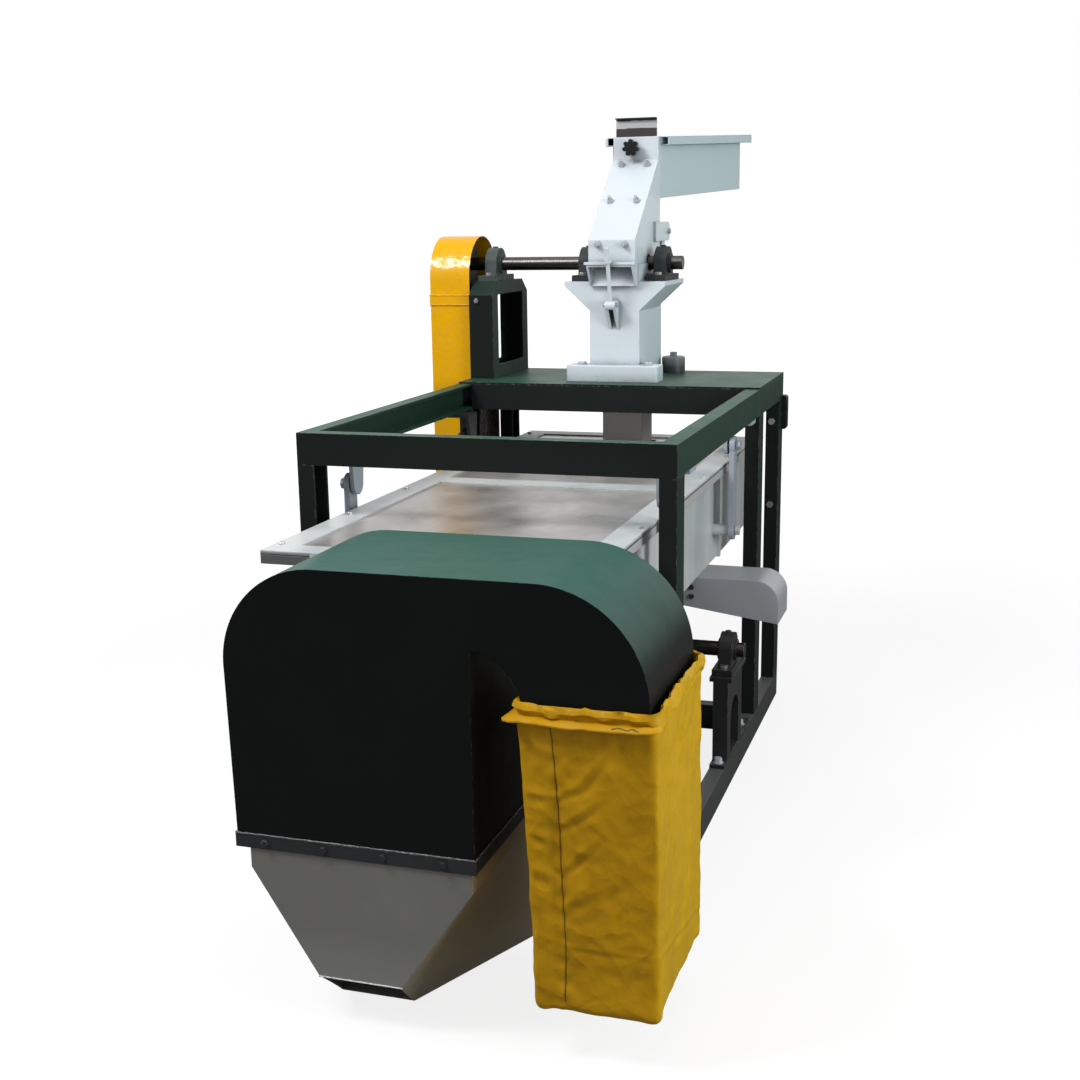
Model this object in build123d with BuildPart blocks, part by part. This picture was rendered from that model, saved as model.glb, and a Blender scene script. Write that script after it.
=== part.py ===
from build123d import *
import os
from math import atan2, cos, degrees, hypot, radians, sin, sqrt, tan

os.makedirs("parts", exist_ok=True)

# Frame of rolled channel
FRAME_W = 900.0
FRAME_D = 1510.0
FRAME_H = 1030.0
CHANNEL_H = 75.0
CHANNEL_B = 40.0
CHANNEL_WEB = 5.0
CHANNEL_FLANGE = 7.0
TABLE_D = 444.0
CROSS_RAIL_BACK = 47.0
ANCHOR_INSET = 22.0
ANCHOR_SPACING_Y = 1200.0
ANCHOR_R = 7.0
TABLE_T = 5.0
POST_BOLT_DROPS = (321.0, 63.0)
LUG_D = 34.0
LUG_DROP = 92.0
LUG_H = 103.0
LUG_REACH = 17.0

# Fits and fasteners
RUNNING = 0.05
SHIFT_GAP = 0.4
BOLT_R = 6.0
BOLT_FLATS = 19.0
BOLT_HEAD = 8.0
SMALL_R = 4.0
SMALL_FLATS = 13.0
SMALL_HEAD = 5.5

# Shafts and pillow blocks
SHAFT_R = 20.0
SHAFT_CHAMFER = 1.5
BLOCK_CENTRE = 50.0
BLOCK_LENGTH = 184.0
BLOCK_FOOT_W = 54.0
BLOCK_FOOT_T = 17.0
BLOCK_BODY_R = 48.0
BLOCK_BODY_W = 36.0
BLOCK_FLARE = 8.0
BLOCK_OILER_R = 8.0
BLOCK_OILER_H = 4.0
BLOCK_INSERT_R = 29.0
BLOCK_INSERT_W = 50.0
BLOCK_BOLT_SPACING = 137.0

# Mill on the table
MILL_SETBACK = 195.0
MILL_SHAFT_LIFT = 338.0
MILL_SHAFT_RIGHT = 175.0
MILL_BLOCK_X = 115.0
FOOT_W = 276.0
FOOT_FRONT = 172.0
FOOT_D = 77.0
FOOT_H = 47.0
FOOT_R = 6.0
CASING_W = 150.0
CASING_FRONT = 135.0
CASING_REAR = 146.0
CASING_WALL = 6.0
CASING_FLANGE_W = 17.0
CASING_FLANGE_T = 8.0
SHAFT_HOLE_R = 26.0
SHELF_W = 77.0
SHELF_D = 250.0
SHELF_EDGE = 12.0
SHELF_DROP = 83.0
ROTOR_R = 98.0
ROTOR_W = 100.0
ROTOR_DISC_R = 82.0
ROTOR_DISC_T = 8.0
ROTOR_HUB_R = 34.0
ROTOR_PIN_R = 7.0
ROTOR_PIN_CIRCLE = 64.0
ROTOR_PINS = 4
HAMMER_T = 6.0
HAMMER_B = 26.0
HAMMERS_PER_PIN = 4
SIEVE_GAP = 6.0
SIEVE_T = 2.5
SIEVE_SLOT = 4.0
SIEVE_SLOTS = 13
SIEVE_ARC = 140.0
PEDESTAL_W = 75.0
PEDESTAL_D = 335.0
PEDESTAL_WALL = 8.0
PEDESTAL_WINDOW_D = 235.0
PEDESTAL_WINDOW_H = 211.0
PEDESTAL_CUT_D = 50.0
PEDESTAL_CUT_H = 38.0
PEDESTAL_BACK = 22.0
PEDESTAL_BOLT_IN = 24.0
PEDESTAL_BOLT_DROP = 55.0
BOSS_X = 113.0
BOSS_BACK = 155.0
BOSS_R = 36.0
BOSS_H = 48.0
BOSS_FILLET = 6.0
DUCT_W = 122.0
DUCT_D = 130.0
DUCT_WALL = 2.0
DUCT_DROP = 215.0
DUCT_BACK = 20.0

# Upper casing, cover, latch and hinge
UPPER_W = 140.0
UPPER_FRONT = 165.0
KNEE_H = 70.0
SLANT_D = 290.0
SLANT_H = 232.0
COVER_TOP_H = 68.0
COVER_T = 5.0
THROAT_D = 25.0
SILL_H = 189.0
LIP_T = 8.0
LIP_REACH = 28.0
LIP_W = 152.0
LIP_SLOT = 15.0
STUD_X = 40.0
STUD_MID_DROP = 12.0
STUD_R = 5.0
STUD_FLATS = 17.0
STUD_NUT_H = 9.0
STUD_L = 20.0
CHEEK_H = 62.0
LEDGE_D = 15.0
SEAT_T = 6.0
LATCH_REACH = 44.0
LATCH_DROP = 115.0
LATCH_PIN_R = 6.0
LATCH_EYE_R = 13.0
LATCH_EYE_W = 14.0
LATCH_LUG_T = 8.0
LATCH_LENGTH = 168.0
LATCH_LUG_H = 74.0
LATCH_NUT_GAP = 2.0
LATCH_NUT_H = 13.0
LATCH_TILT = 14.0
HINGE_BACK = 77.0
HINGE_UP = 90.0
HINGE_R = 8.0
STRAP_T = 8.0
STRAP_H = 57.0
STRAP_D = 84.0
HINGE_GAP = 2.0
HINGE_LUG_R = 20.0
GATE_T = 3.0
GATE_PLAY = 1.0
GATE_SIDE_PLAY = 1.0
GATE_RISE = 55.0
GATE_LIP = 14.0
GATE_GUIDE = 6.0
KNOB_R = 25.0
KNOB_CORE_R = 18.0
KNOB_LOBE_R = 6.5
KNOB_LOBES = 7
KNOB_T = 18.0
KNOB_STAND = 22.0
KNOB_NECK_R = 10.0
KNOB_X = -8.0
KNOB_DROP = 33.0
HOPPER_L = 476.0
HOPPER_REAR_W = 432.0
HOPPER_SKEW = 11.0
HOPPER_RISE = 31.0
HOPPER_RIM_RISE = 22.0
HOPPER_WALL = 3.0
HEM = 25.0
HEM_WALL = 2.0

# Belt drive and guard
GROOVE_PITCH = 19.0
GROOVE_W = 17.0
GROOVE_DEPTH = 14.5
GROOVE_TAPER = 19.0
BELT_H = 10.0
BELT_SINK = 1.0
BELT_GAP = 0.5
BELTS = 3
MILL_BELT_IN = 56.0
SCREEN_BELT_IN = 19.0
MILL_PULLEY_R = 65.0
MOTOR_PULLEY_R = 100.0
MOTOR_SMALL_R = 35.0
ECC_PULLEY_R = 140.0
PULLEY_EDGE = 12.5
PULLEY_RIM = 12.0
PULLEY_WINDOWS = 5
PULLEY_WEB = 7.0
GUARD_GAP = 5.0
GUARD_W = 127.0
GUARD_R = 125.0
GUARD_WALL = 2.0
GUARD_TOP_DROP = 41.0
GUARD_SEAM_DROP = 120.0
GUARD_LAP = 30.0
GUARD_SLOT_W = 30.0
GUARD_SLOT_PLAY = 24.0
GUARD_SPACER = 40.0

# Motor, 132 frame
MOTOR_H = 132.0
MOTOR_R = 108.0
MOTOR_FIN = 16.0
MOTOR_FIN_T = 5.0
MOTOR_FIN_ROOT = 4.0
MOTOR_FINS = 24
MOTOR_GAP = 10.0
MOTOR_SHIELD_L = 45.0
MOTOR_STATOR_L = 230.0
MOTOR_FAN_L = 105.0
MOTOR_FAN_R = 126.0
FAN_DISC_R = 97.0
FAN_BLADES = 8
FAN_BLADE_L = 64.0
FAN_SLOTS = 12
FAN_SLOT_L = 54.0
MOTOR_SHAFT_R = 19.0
MOTOR_SHAFT_L = 80.0
MOTOR_FOOT_A = 216.0
MOTOR_FOOT_B = 140.0
MOTOR_FOOT_C = 89.0
MOTOR_FOOT_T = 14.0
MOTOR_FOOT_PAD = 44.0
MOTOR_FOOT_LEG = 18.0
MOTOR_BOX_L = 120.0
MOTOR_BOX_W = 110.0
MOTOR_BOX_H = 62.0
MOTOR_NECK_H = 20.0
MOTOR_PLATE_T = 10.0
MOTOR_PLATE_L = 300.0
MOTOR_PLATE_INSET = 35.0

# Shaking screen box
RIM_GAP = 40.0
RIM_REACH = 30.0
RIM_OVERHANG = 345.0
RIM_LIFT = 157.0
RIM_H = 20.0
TROUGH_H = 247.0
TROUGH_WALL = 3.0
TAPER_BACK = 165.0
NECK_W = 482.0
NECK_REACH = 27.0
GASKET_T = 2.0
SHEET_T = 3.0
STRIP_T = 4.0
STRIP_W = 65.0
SEAM_AHEAD = 17.5
SCREW_INSET = 17.0
SCREW_ROWS = 6
SCREW_HEAD_R = 7.0
SCREW_HEAD_H = 5.0
INLET_PLAY = 14.0
DECK_T = 2.0
DECK_BAR = 20.0
DECK_HEIGHTS = (70.0, 150.0)
RIB_AHEAD = 36.0
RIB_T = 10.0
RIB_B = 20.0

# Hangers
HANGER_FRONT = 165.0
HANGER_REAR = 96.0
HANGER_DROP = 70.0
HANGER_L = 240.0
LINK_GAP = 18.0
LINK_T = 14.0
LINK_B = 44.0
LINK_EYE_R = 26.0
PIN_R = 8.0
PIN_NUT = 12.0
PIN_NUT_FLATS = 24.0
PIN_NUT_GAP = 2.0
BRACKET_GAP = 6.0
BRACKET_T = 10.0
BRACKET_B = 70.0

# Eccentric drive
ECC_AHEAD = 321.0
ECC_DROP = 191.0
ECC_STAND_B = 210.0
ECC_ARCH_B = 120.0
ECC_ARCH_R = 59.0
ECC_BRIDGE = 67.0
ECC_TOP_T = 12.0
ECC_TOP_W = 60.0
ECC_FOOT_T = 10.0
ECC_FOOT_FRONT = 145.0
ECC_FOOT_REAR = 255.0
ECC_REACH = 25.0
ECC_THROW = 8.0
SHEAVE_R = 38.0
SHEAVE_W = 26.0
ROD_X = 200.0
ROD_REACH = 415.0
ROD_EYE_DROP = 45.0
ROD_EYE_R = 24.0
ROD_EYE_W = 40.0
ROD_PIN_R = 10.0
ROD_LUG_T = 8.0
ROD_LUG_GAP = 2.0
ROD_LUG_B = 90.0
ROD_B = 34.0
ROD_T = 24.0
HOUSING_R = 72.0
HOUSING_BORE_R = 60.0
HOUSING_W = 44.0
HOUSING_COVER = 5.0
HOUSING_EYE_R = 33.0

# Side chute
CHUTE_AHEAD = 314.0
CHUTE_B = 162.0
CHUTE_UNDER = 100.0
CHUTE_REACH = 111.0
CHUTE_ROOT_H = 70.0
CHUTE_END_H = 115.0
CHUTE_R = 60.0
CHUTE_WALL = 3.0
CHUTE_MOUTH = 90.0

# Hood, flange, spout and bag
HOOD_D = 358.0
HOOD_RISE = 93.0
HOOD_H = 527.0
HOOD_R = 190.0
HOOD_WALL = 3.0
HOOD_LEAN = 8.0
ELBOW_R = 210.0
ELBOW_OUTLET = 233.0
ELBOW_SPIGOT = 25.0
ELBOW_INNER_R = 116.0
ELBOW_INNER_DROP = 31.0
ELBOW_GAP = 92.0
FLANGE_T = 26.0
FLANGE_REACH = 3.0
FLANGE_BOLTS = 4
SPOUT_INSET = 32.0
SPOUT_SHIFT = 10.0
SPOUT_COLLAR = 40.0
SPOUT_REAR_Z = 46.0
SPOUT_NOSE_Z = 15.0
SPOUT_NOSE_W = 68.0
SPOUT_MOUTH_H = 77.0
SPOUT_MOUTH_D = 80.0
SPOUT_WALL = 3.0
BAG_GAP = 8.0
BAG_WALL = 4.0
BAG_BASE = 96.0
BAG_RIM = 32.0
BAG_RIM_T = 4.0
BAG_SWELL = 18.0
BAG_LEAN = 18.0

# Levels and places that follow from the sizes above
half_w = FRAME_W / 2
half_d = FRAME_D / 2
rail_z = FRAME_H - CHANNEL_H
inner_x = half_w - CHANNEL_B
mid_post_y = half_d - TABLE_D
cross_rail_y = mid_post_y + CROSS_RAIL_BACK
mill_y = half_d - MILL_SETBACK
lug_z = rail_z - LUG_DROP
table_z = FRAME_H + TABLE_T
shaft_z = table_z + MILL_SHAFT_LIFT
shelf_z = shaft_z - BLOCK_CENTRE
pedestal_x = -half_w + PEDESTAL_W / 2
pedestal_low = mill_y + PEDESTAL_BACK - PEDESTAL_D / 2
casing_front = mill_y - CASING_FRONT
casing_rear = mill_y + CASING_REAR
cover_y = mill_y - UPPER_FRONT
knee_z = shaft_z + KNEE_H
throat_y = cover_y + SLANT_D
slant_z = knee_z + SLANT_H
cover_top = slant_z + COVER_TOP_H
sill_z = shaft_z + SILL_H
hopper_y = throat_y + THROAT_D
floor_z = sill_z + HOPPER_WALL
slant_angle = atan2(SLANT_D, SLANT_H)
bend_shift = COVER_T * tan(slant_angle / 2)
latch_y = casing_front - LATCH_REACH
latch_z = shaft_z - LATCH_DROP
hinge_y = casing_rear + HINGE_BACK
hinge_z = shaft_z + HINGE_UP
gate_y = throat_y + COVER_T + GATE_PLAY
boss_at = (BOSS_X, mill_y + BOSS_BACK)
guard_right = -half_w - GUARD_GAP
guard_x = guard_right - GUARD_W
screen_belt_x = guard_right - SCREEN_BELT_IN
motor_x = guard_right + MOTOR_GAP
motor_plate_rear = half_d - MOTOR_PLATE_INSET
motor_plate_z = CHANNEL_H + MOTOR_PLATE_T
motor_z = motor_plate_z + MOTOR_H
guard_top_z = shaft_z - GUARD_TOP_DROP
hanger_y = (-half_d + HANGER_FRONT, mid_post_y - HANGER_REAR)
hanger_top = rail_z - HANGER_DROP
hanger_low = hanger_top - HANGER_L
rim_w = 2 * (inner_x - RIM_GAP)
rim_front = -half_d - RIM_OVERHANG
rim_rear = half_d
rim_z = hanger_low + RIM_LIFT
link_x = rim_w / 2 + LINK_GAP
trough_w = rim_w - 2 * RIM_REACH
taper_y = rim_front + TAPER_BACK
neck_y = rim_front - NECK_REACH
seam_y = (rim_front + rim_rear) / 2 - SEAM_AHEAD
rib_y = mid_post_y - RIB_AHEAD
trough_z = rim_z - TROUGH_H
cover_z = rim_z + RIM_H + GASKET_T
strip_z = cover_z + SHEET_T
ecc_y = mid_post_y - ECC_AHEAD
ecc_z = trough_z - ECC_DROP
ecc_stand_z = ecc_z - BLOCK_CENTRE - ECC_TOP_T
stand_x = half_w - CHANNEL_B / 2
rod_eye_y = ecc_y - ROD_REACH
rod_eye_z = trough_z - ROD_EYE_DROP
chute_y = mid_post_y - CHUTE_AHEAD
chute_in = trough_w / 2 - CHUTE_UNDER
chute_out = half_w + CHUTE_REACH
hood_top = rim_z + HOOD_RISE
hood_base = hood_top - HOOD_H
hood_front = neck_y - HOOD_D
elbow_x = NECK_W / 2 + ELBOW_GAP + ELBOW_OUTLET
elbow_z = hood_top - ELBOW_R
spout_z = hood_base - FLANGE_T
X_AXIS = (1, 0, 0)


# Planes by which profiles are placed, and shapes that many pieces share
def side(x):
    """The plane at x, with its own axes along +Y and +Z, facing +X."""
    return Plane.YZ.offset(x)


def front(y):
    """The plane at y, with its own axes along +X and +Z, facing -Y."""
    return Plane.XZ.offset(-y)


def level(z):
    """The plane at z, with its own axes along +X and +Y, facing +Z."""
    return Plane.XY.offset(z)


def slab(x, y, z, mode=Mode.ADD):
    """A box between a low and a high limit along each axis."""
    with Locations(((x[0] + x[1]) / 2, (y[0] + y[1]) / 2, (z[0] + z[1]) / 2)):
        Box(x[1] - x[0], y[1] - y[0], z[1] - z[0], mode=mode)


def outline(plane, points, amount, mode=Mode.ADD):
    """A straight-edged profile, extruded along its plane's normal."""
    with BuildSketch(plane) as face:
        with BuildLine():
            Polyline(*points, close=True)
        make_face()
    extrude(face.sketch, amount=amount, mode=mode)


def discs(plane, points, radius, amount, mode=Mode.ADD):
    """Round bars of one radius, extruded from points of a plane."""
    with BuildSketch(plane) as face:
        with Locations(*points):
            Circle(radius)
    extrude(face.sketch, amount=amount, mode=mode)


def hexes(plane, points, flats, amount):
    """Hexagon heads or nuts at points of a plane."""
    with BuildSketch(plane) as face:
        with Locations(*points):
            RegularPolygon(flats / 2, 6, major_radius=False)
    extrude(face.sketch, amount=amount)


def channel(plane, u, v, opening, length):
    """A channel from the lower outer corner of its web, open towards +u (1) or -u (-1)."""
    near = Align.MIN if opening > 0 else Align.MAX
    with BuildSketch(plane) as face:
        with Locations((u, v)):
            Rectangle(CHANNEL_B, CHANNEL_H, align=(near, Align.MIN))
        with Locations((u + opening * CHANNEL_WEB, v + CHANNEL_FLANGE)):
            room = CHANNEL_H - 2 * CHANNEL_FLANGE
            Rectangle(CHANNEL_B, room, align=(near, Align.MIN), mode=Mode.SUBTRACT)
    extrude(face.sketch, amount=length)


def span(sign, low, high):
    """The limits of a piece between two distances from the middle plane, on one side of it."""
    return (low, high) if sign > 0 else (-high, -low)


def pillow_block(x, y, base):
    """A cast pillow block standing at a level, with its bore along X."""
    centre = base + BLOCK_CENTRE
    foot = (base, base + BLOCK_FOOT_T)
    slab((x - BLOCK_FOOT_W / 2, x + BLOCK_FOOT_W / 2), (y - BLOCK_LENGTH / 2, y + BLOCK_LENGTH / 2), foot)
    with BuildSketch(side(x - BLOCK_BODY_W / 2)) as body:
        with Locations((y, centre)):
            Circle(BLOCK_BODY_R)
        with BuildLine():
            Polyline(
                (y - BLOCK_BODY_R - BLOCK_FLARE, base),
                (y + BLOCK_BODY_R + BLOCK_FLARE, base),
                (y + BLOCK_BODY_R, centre),
                (y - BLOCK_BODY_R, centre),
                close=True,
            )
        make_face()
    extrude(body.sketch, amount=BLOCK_BODY_W)
    crown = centre + BLOCK_BODY_R - BLOCK_OILER_H
    discs(level(crown), [(x, y)], BLOCK_OILER_R, 2 * BLOCK_OILER_H)
    discs(side(x - BLOCK_INSERT_W / 2), [(y, centre)], BLOCK_INSERT_R, BLOCK_INSERT_W)
    discs(side(x - BLOCK_FOOT_W / 2), [(y, centre)], SHAFT_R + RUNNING, BLOCK_FOOT_W, Mode.SUBTRACT)
    ends = [(x, y - BLOCK_BOLT_SPACING / 2), (x, y + BLOCK_BOLT_SPACING / 2)]
    discs(level(base), ends, BOLT_R, BLOCK_FOOT_T, Mode.SUBTRACT)


def pillow_bolts(x, y, base):
    """The two bolts of a pillow block."""
    ends = [(x, y - BLOCK_BOLT_SPACING / 2), (x, y + BLOCK_BOLT_SPACING / 2)]
    discs(level(base), ends, BOLT_R, BLOCK_FOOT_T)
    hexes(level(base + BLOCK_FOOT_T), ends, BOLT_FLATS, BOLT_HEAD)


def groove(x, radius):
    """The profile points of one belt groove at x in a pulley of an outer radius."""
    floor = GROOVE_W / 2 - GROOVE_DEPTH * tan(radians(GROOVE_TAPER))
    return [
        (x - GROOVE_W / 2, radius),
        (x - floor, radius - GROOVE_DEPTH),
        (x + floor, radius - GROOVE_DEPTH),
        (x + GROOVE_W / 2, radius),
    ]


def turned(y, z, points):
    """A profile of (x, radius) points turned about an axis along X."""
    with BuildSketch(Plane((0, y, z), x_dir=X_AXIS, z_dir=(0, -1, 0))) as face:
        with BuildLine():
            Polyline(*points, close=True)
        make_face()
    revolve(face.sketch, axis=Axis((0, y, z), X_AXIS))


def belt(x, first, second):
    """A wedge belt round two pulleys, each given as (y, z, outer radius of the belt)."""
    (y1, z1, r1), (y2, z2, r2) = first, second
    reach = hypot(y2 - y1, z2 - z1)
    along = Vector(y2 - y1, z2 - z1) / reach
    across = Vector(along.Y, -along.X)
    lean = (r1 - r2) / reach
    square = sqrt(1 - lean**2)
    far = along * lean + across * square
    near = along * lean - across * square
    start, leave = [(y1 + far.X * r1, z1 + far.Y * r1), (y2 + far.X * r2, z2 + far.Y * r2)]
    back, end = [(y2 + near.X * r2, z2 + near.Y * r2), (y1 + near.X * r1, z1 + near.Y * r1)]
    with BuildLine(side(x)) as path:
        Line(start, leave)
        ThreePointArc(leave, (y2 + along.X * r2, z2 + along.Y * r2), back)
        Line(back, end)
        ThreePointArc(end, (y1 - along.X * r1, z1 - along.Y * r1), start)
    slope = tan(radians(GROOVE_TAPER))
    top = GROOVE_W / 2 - BELT_SINK * slope - BELT_GAP
    bottom = top - BELT_H * slope
    with BuildSketch(Plane(path.wire() @ 0, x_dir=X_AXIS, z_dir=path.wire() % 0)) as section:
        with BuildLine():
            Polyline((-top, 0), (top, 0), (bottom, -BELT_H), (-bottom, -BELT_H), close=True)
        make_face()
    sweep(section.sketch, path=path.wire())


# Top ring of the frame, welded from four channels with their webs outside
with BuildPart() as top_ring:
    channel(side(-half_w), -half_d, rail_z, 1, FRAME_W)
    channel(side(-half_w), half_d, rail_z, -1, FRAME_W)
    channel(front(half_d), -half_w, rail_z, 1, FRAME_D)
    channel(front(half_d), half_w, rail_z, -1, FRAME_D)
top_ring.part.label = "top_ring"
export_step(top_ring.part, "parts/top_ring.step")

# Middle rail under the front edge of the table
with BuildPart() as mid_rail:
    channel(side(-inner_x), mid_post_y, rail_z, 1, 2 * inner_x)
mid_rail.part.label = "mid_rail"
export_step(mid_rail.part, "parts/mid_rail.step")

# Six posts, with a rounded lug welded outside the rear right one
with BuildPart() as posts:
    for y in (-half_d, mid_post_y, half_d - CHANNEL_H):
        for sign in (-1, 1):
            channel(level(CHANNEL_H), sign * half_w, y, -sign, rail_z - CHANNEL_H)
    with BuildSketch(front(half_d)) as lug:
        with Locations((half_w, lug_z)):
            Rectangle(LUG_REACH, LUG_H, align=(Align.MIN, Align.MIN))
        fillet(lug.vertices().group_by(Axis.X)[-1], LUG_REACH / 2)
    extrude(amount=LUG_D)
posts.part.label = "posts"
export_step(posts.part, "parts/posts.step")

# Low frame: side rails with anchor holes, and the cross rail that carries the motor plate
with BuildPart() as low_frame:
    channel(front(half_d), -half_w, 0, 1, FRAME_D)
    channel(front(half_d), half_w, 0, -1, FRAME_D)
    channel(side(-inner_x), cross_rail_y, 0, 1, 2 * inner_x)
    with GridLocations(FRAME_W - 2 * ANCHOR_INSET, ANCHOR_SPACING_Y, 2, 2):
        Cylinder(ANCHOR_R, 2 * CHANNEL_FLANGE, mode=Mode.SUBTRACT)
low_frame.part.label = "low_frame"
export_step(low_frame.part, "parts/low_frame.step")

# Table plate on the rear half of the frame, with the hole for the ground grain
duct_x = (-DUCT_W / 2 + DUCT_WALL, DUCT_W / 2 - DUCT_WALL)
duct_mid = mill_y + DUCT_BACK
duct_y = (duct_mid - DUCT_D / 2 + DUCT_WALL, duct_mid + DUCT_D / 2 - DUCT_WALL)
with BuildPart() as table_plate:
    slab((-half_w, half_w), (mid_post_y, half_d), (FRAME_H, table_z))
    slab(duct_x, duct_y, (FRAME_H, table_z), Mode.SUBTRACT)
table_plate.part.label = "table_plate"
export_step(table_plate.part, "parts/table_plate.step")

# Front foot of the mill, a rounded bar cut round the column
passage_x = (-CASING_W / 2 + CASING_WALL, CASING_W / 2 - CASING_WALL)
passage_y = (casing_front + CASING_WALL, casing_rear - CASING_WALL)
casing_x = (-CASING_W / 2, CASING_W / 2)
with BuildPart() as mill_foot:
    foot_y = (mill_y - FOOT_FRONT, mill_y - FOOT_FRONT + FOOT_D)
    slab((-FOOT_W / 2, FOOT_W / 2), foot_y, (table_z, table_z + FOOT_H))
    fillet(mill_foot.edges().filter_by(Axis.Z), FOOT_R)
    fillet(mill_foot.edges().group_by(Axis.Z)[-1], FOOT_R / 2)
    slab(casing_x, (casing_front, casing_rear), (table_z, table_z + FOOT_H), Mode.SUBTRACT)
mill_foot.part.label = "mill_foot"
export_step(mill_foot.part, "parts/mill_foot.step")

# Lower casing: column, bearing shelves, seat and cheeks under the lip, latch lugs and rear hinge lugs
ledge_y = casing_front - LEDGE_D
seat_y = cover_y - LIP_REACH + LIP_T / 2
with BuildPart() as lower_casing:
    slab(casing_x, (casing_front, casing_rear), (table_z, shaft_z))
    slab(passage_x, passage_y, (table_z, shaft_z - CASING_FLANGE_T), Mode.SUBTRACT)
    chamber_x = (-CASING_W / 2 + CASING_FLANGE_W, CASING_W / 2 - CASING_FLANGE_W)
    chamber_y = (mill_y - ROTOR_R - SIEVE_GAP, mill_y + ROTOR_R + SIEVE_GAP)
    slab(chamber_x, chamber_y, (shaft_z - CASING_FLANGE_T, shaft_z), Mode.SUBTRACT)
    for sign in (-1, 1):
        wedge = [
            (sign * CASING_W / 2, shelf_z),
            (sign * (CASING_W / 2 + SHELF_W), shelf_z),
            (sign * (CASING_W / 2 + SHELF_W), shelf_z - SHELF_EDGE),
            (sign * CASING_W / 2, shelf_z - SHELF_DROP),
        ]
        outline(front(casing_front + SHELF_D), wedge, SHELF_D)
    cheek = [
        (casing_front, shaft_z),
        (casing_front, shaft_z - CHEEK_H),
        (ledge_y, shaft_z - CHEEK_H),
        (seat_y, shaft_z - SEAT_T),
        (seat_y, shaft_z),
    ]
    ledge_z = shaft_z - CHEEK_H
    ledge = [(casing_front, ledge_z), (ledge_y, ledge_z), (casing_front, shaft_z - SEAT_T)]
    outline(side(-UPPER_W / 2), ledge, UPPER_W)
    slab((-UPPER_W / 2, UPPER_W / 2), (seat_y, casing_front), (shaft_z - SEAT_T, shaft_z))
    slab((-LIP_SLOT / 2, LIP_SLOT / 2), (seat_y, latch_y), (shaft_z - SEAT_T, shaft_z), Mode.SUBTRACT)
    discs(level(shaft_z - SEAT_T), [(0, latch_y)], LIP_SLOT / 2, SEAT_T, Mode.SUBTRACT)
    for sign in (-1, 1):
        cheek_x = span(sign, UPPER_W / 2 - CASING_WALL, UPPER_W / 2)
        outline(side(cheek_x[0]), cheek, CASING_WALL)
        lug_x = span(sign, LATCH_EYE_W / 2 + RUNNING, LATCH_EYE_W / 2 + RUNNING + LATCH_LUG_T)
        lug = [
            (casing_front, latch_z + LATCH_EYE_R),
            (casing_front, latch_z - LATCH_LUG_H),
            (latch_y, latch_z - LATCH_EYE_R),
            (latch_y, latch_z + LATCH_EYE_R),
        ]
        outline(side(lug_x[0]), lug, LATCH_LUG_T)
        discs(side(lug_x[0]), [(latch_y, latch_z)], LATCH_EYE_R, LATCH_LUG_T)
        bracket_x = span(sign, UPPER_W / 2 - HINGE_GAP - STRAP_T, UPPER_W / 2 - HINGE_GAP)
        bracket = [
            (casing_rear, shaft_z - SHELF_DROP),
            (casing_rear, shaft_z - CASING_FLANGE_T),
            (hinge_y - HINGE_LUG_R, hinge_z),
            (hinge_y + HINGE_LUG_R, hinge_z),
        ]
        outline(side(bracket_x[0]), bracket, STRAP_T)
        discs(side(bracket_x[0]), [(hinge_y, hinge_z)], HINGE_LUG_R, STRAP_T)
    discs(side(-half_w), [(hinge_y, hinge_z)], HINGE_R, FRAME_W, Mode.SUBTRACT)
    discs(side(-CASING_W), [(latch_y, latch_z)], LATCH_PIN_R, 2 * CASING_W, Mode.SUBTRACT)
    discs(side(-CASING_W), [(mill_y, shaft_z)], SHAFT_HOLE_R, 2 * CASING_W, Mode.SUBTRACT)
lower_casing.part.label = "lower_casing"
export_step(lower_casing.part, "parts/lower_casing.step")

# Pins of the latch and of the hinge
with BuildPart() as mill_pins:
    latch_reach = LATCH_EYE_W / 2 + RUNNING + LATCH_LUG_T + LATCH_PIN_R
    discs(side(-latch_reach), [(latch_y, latch_z)], LATCH_PIN_R, 2 * latch_reach)
    hinge_reach = UPPER_W / 2 + STRAP_T + HINGE_R
    discs(side(-hinge_reach), [(hinge_y, hinge_z)], HINGE_R, 2 * hinge_reach)
mill_pins.part.label = "mill_pins"
export_step(mill_pins.part, "parts/mill_pins.step")

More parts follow.
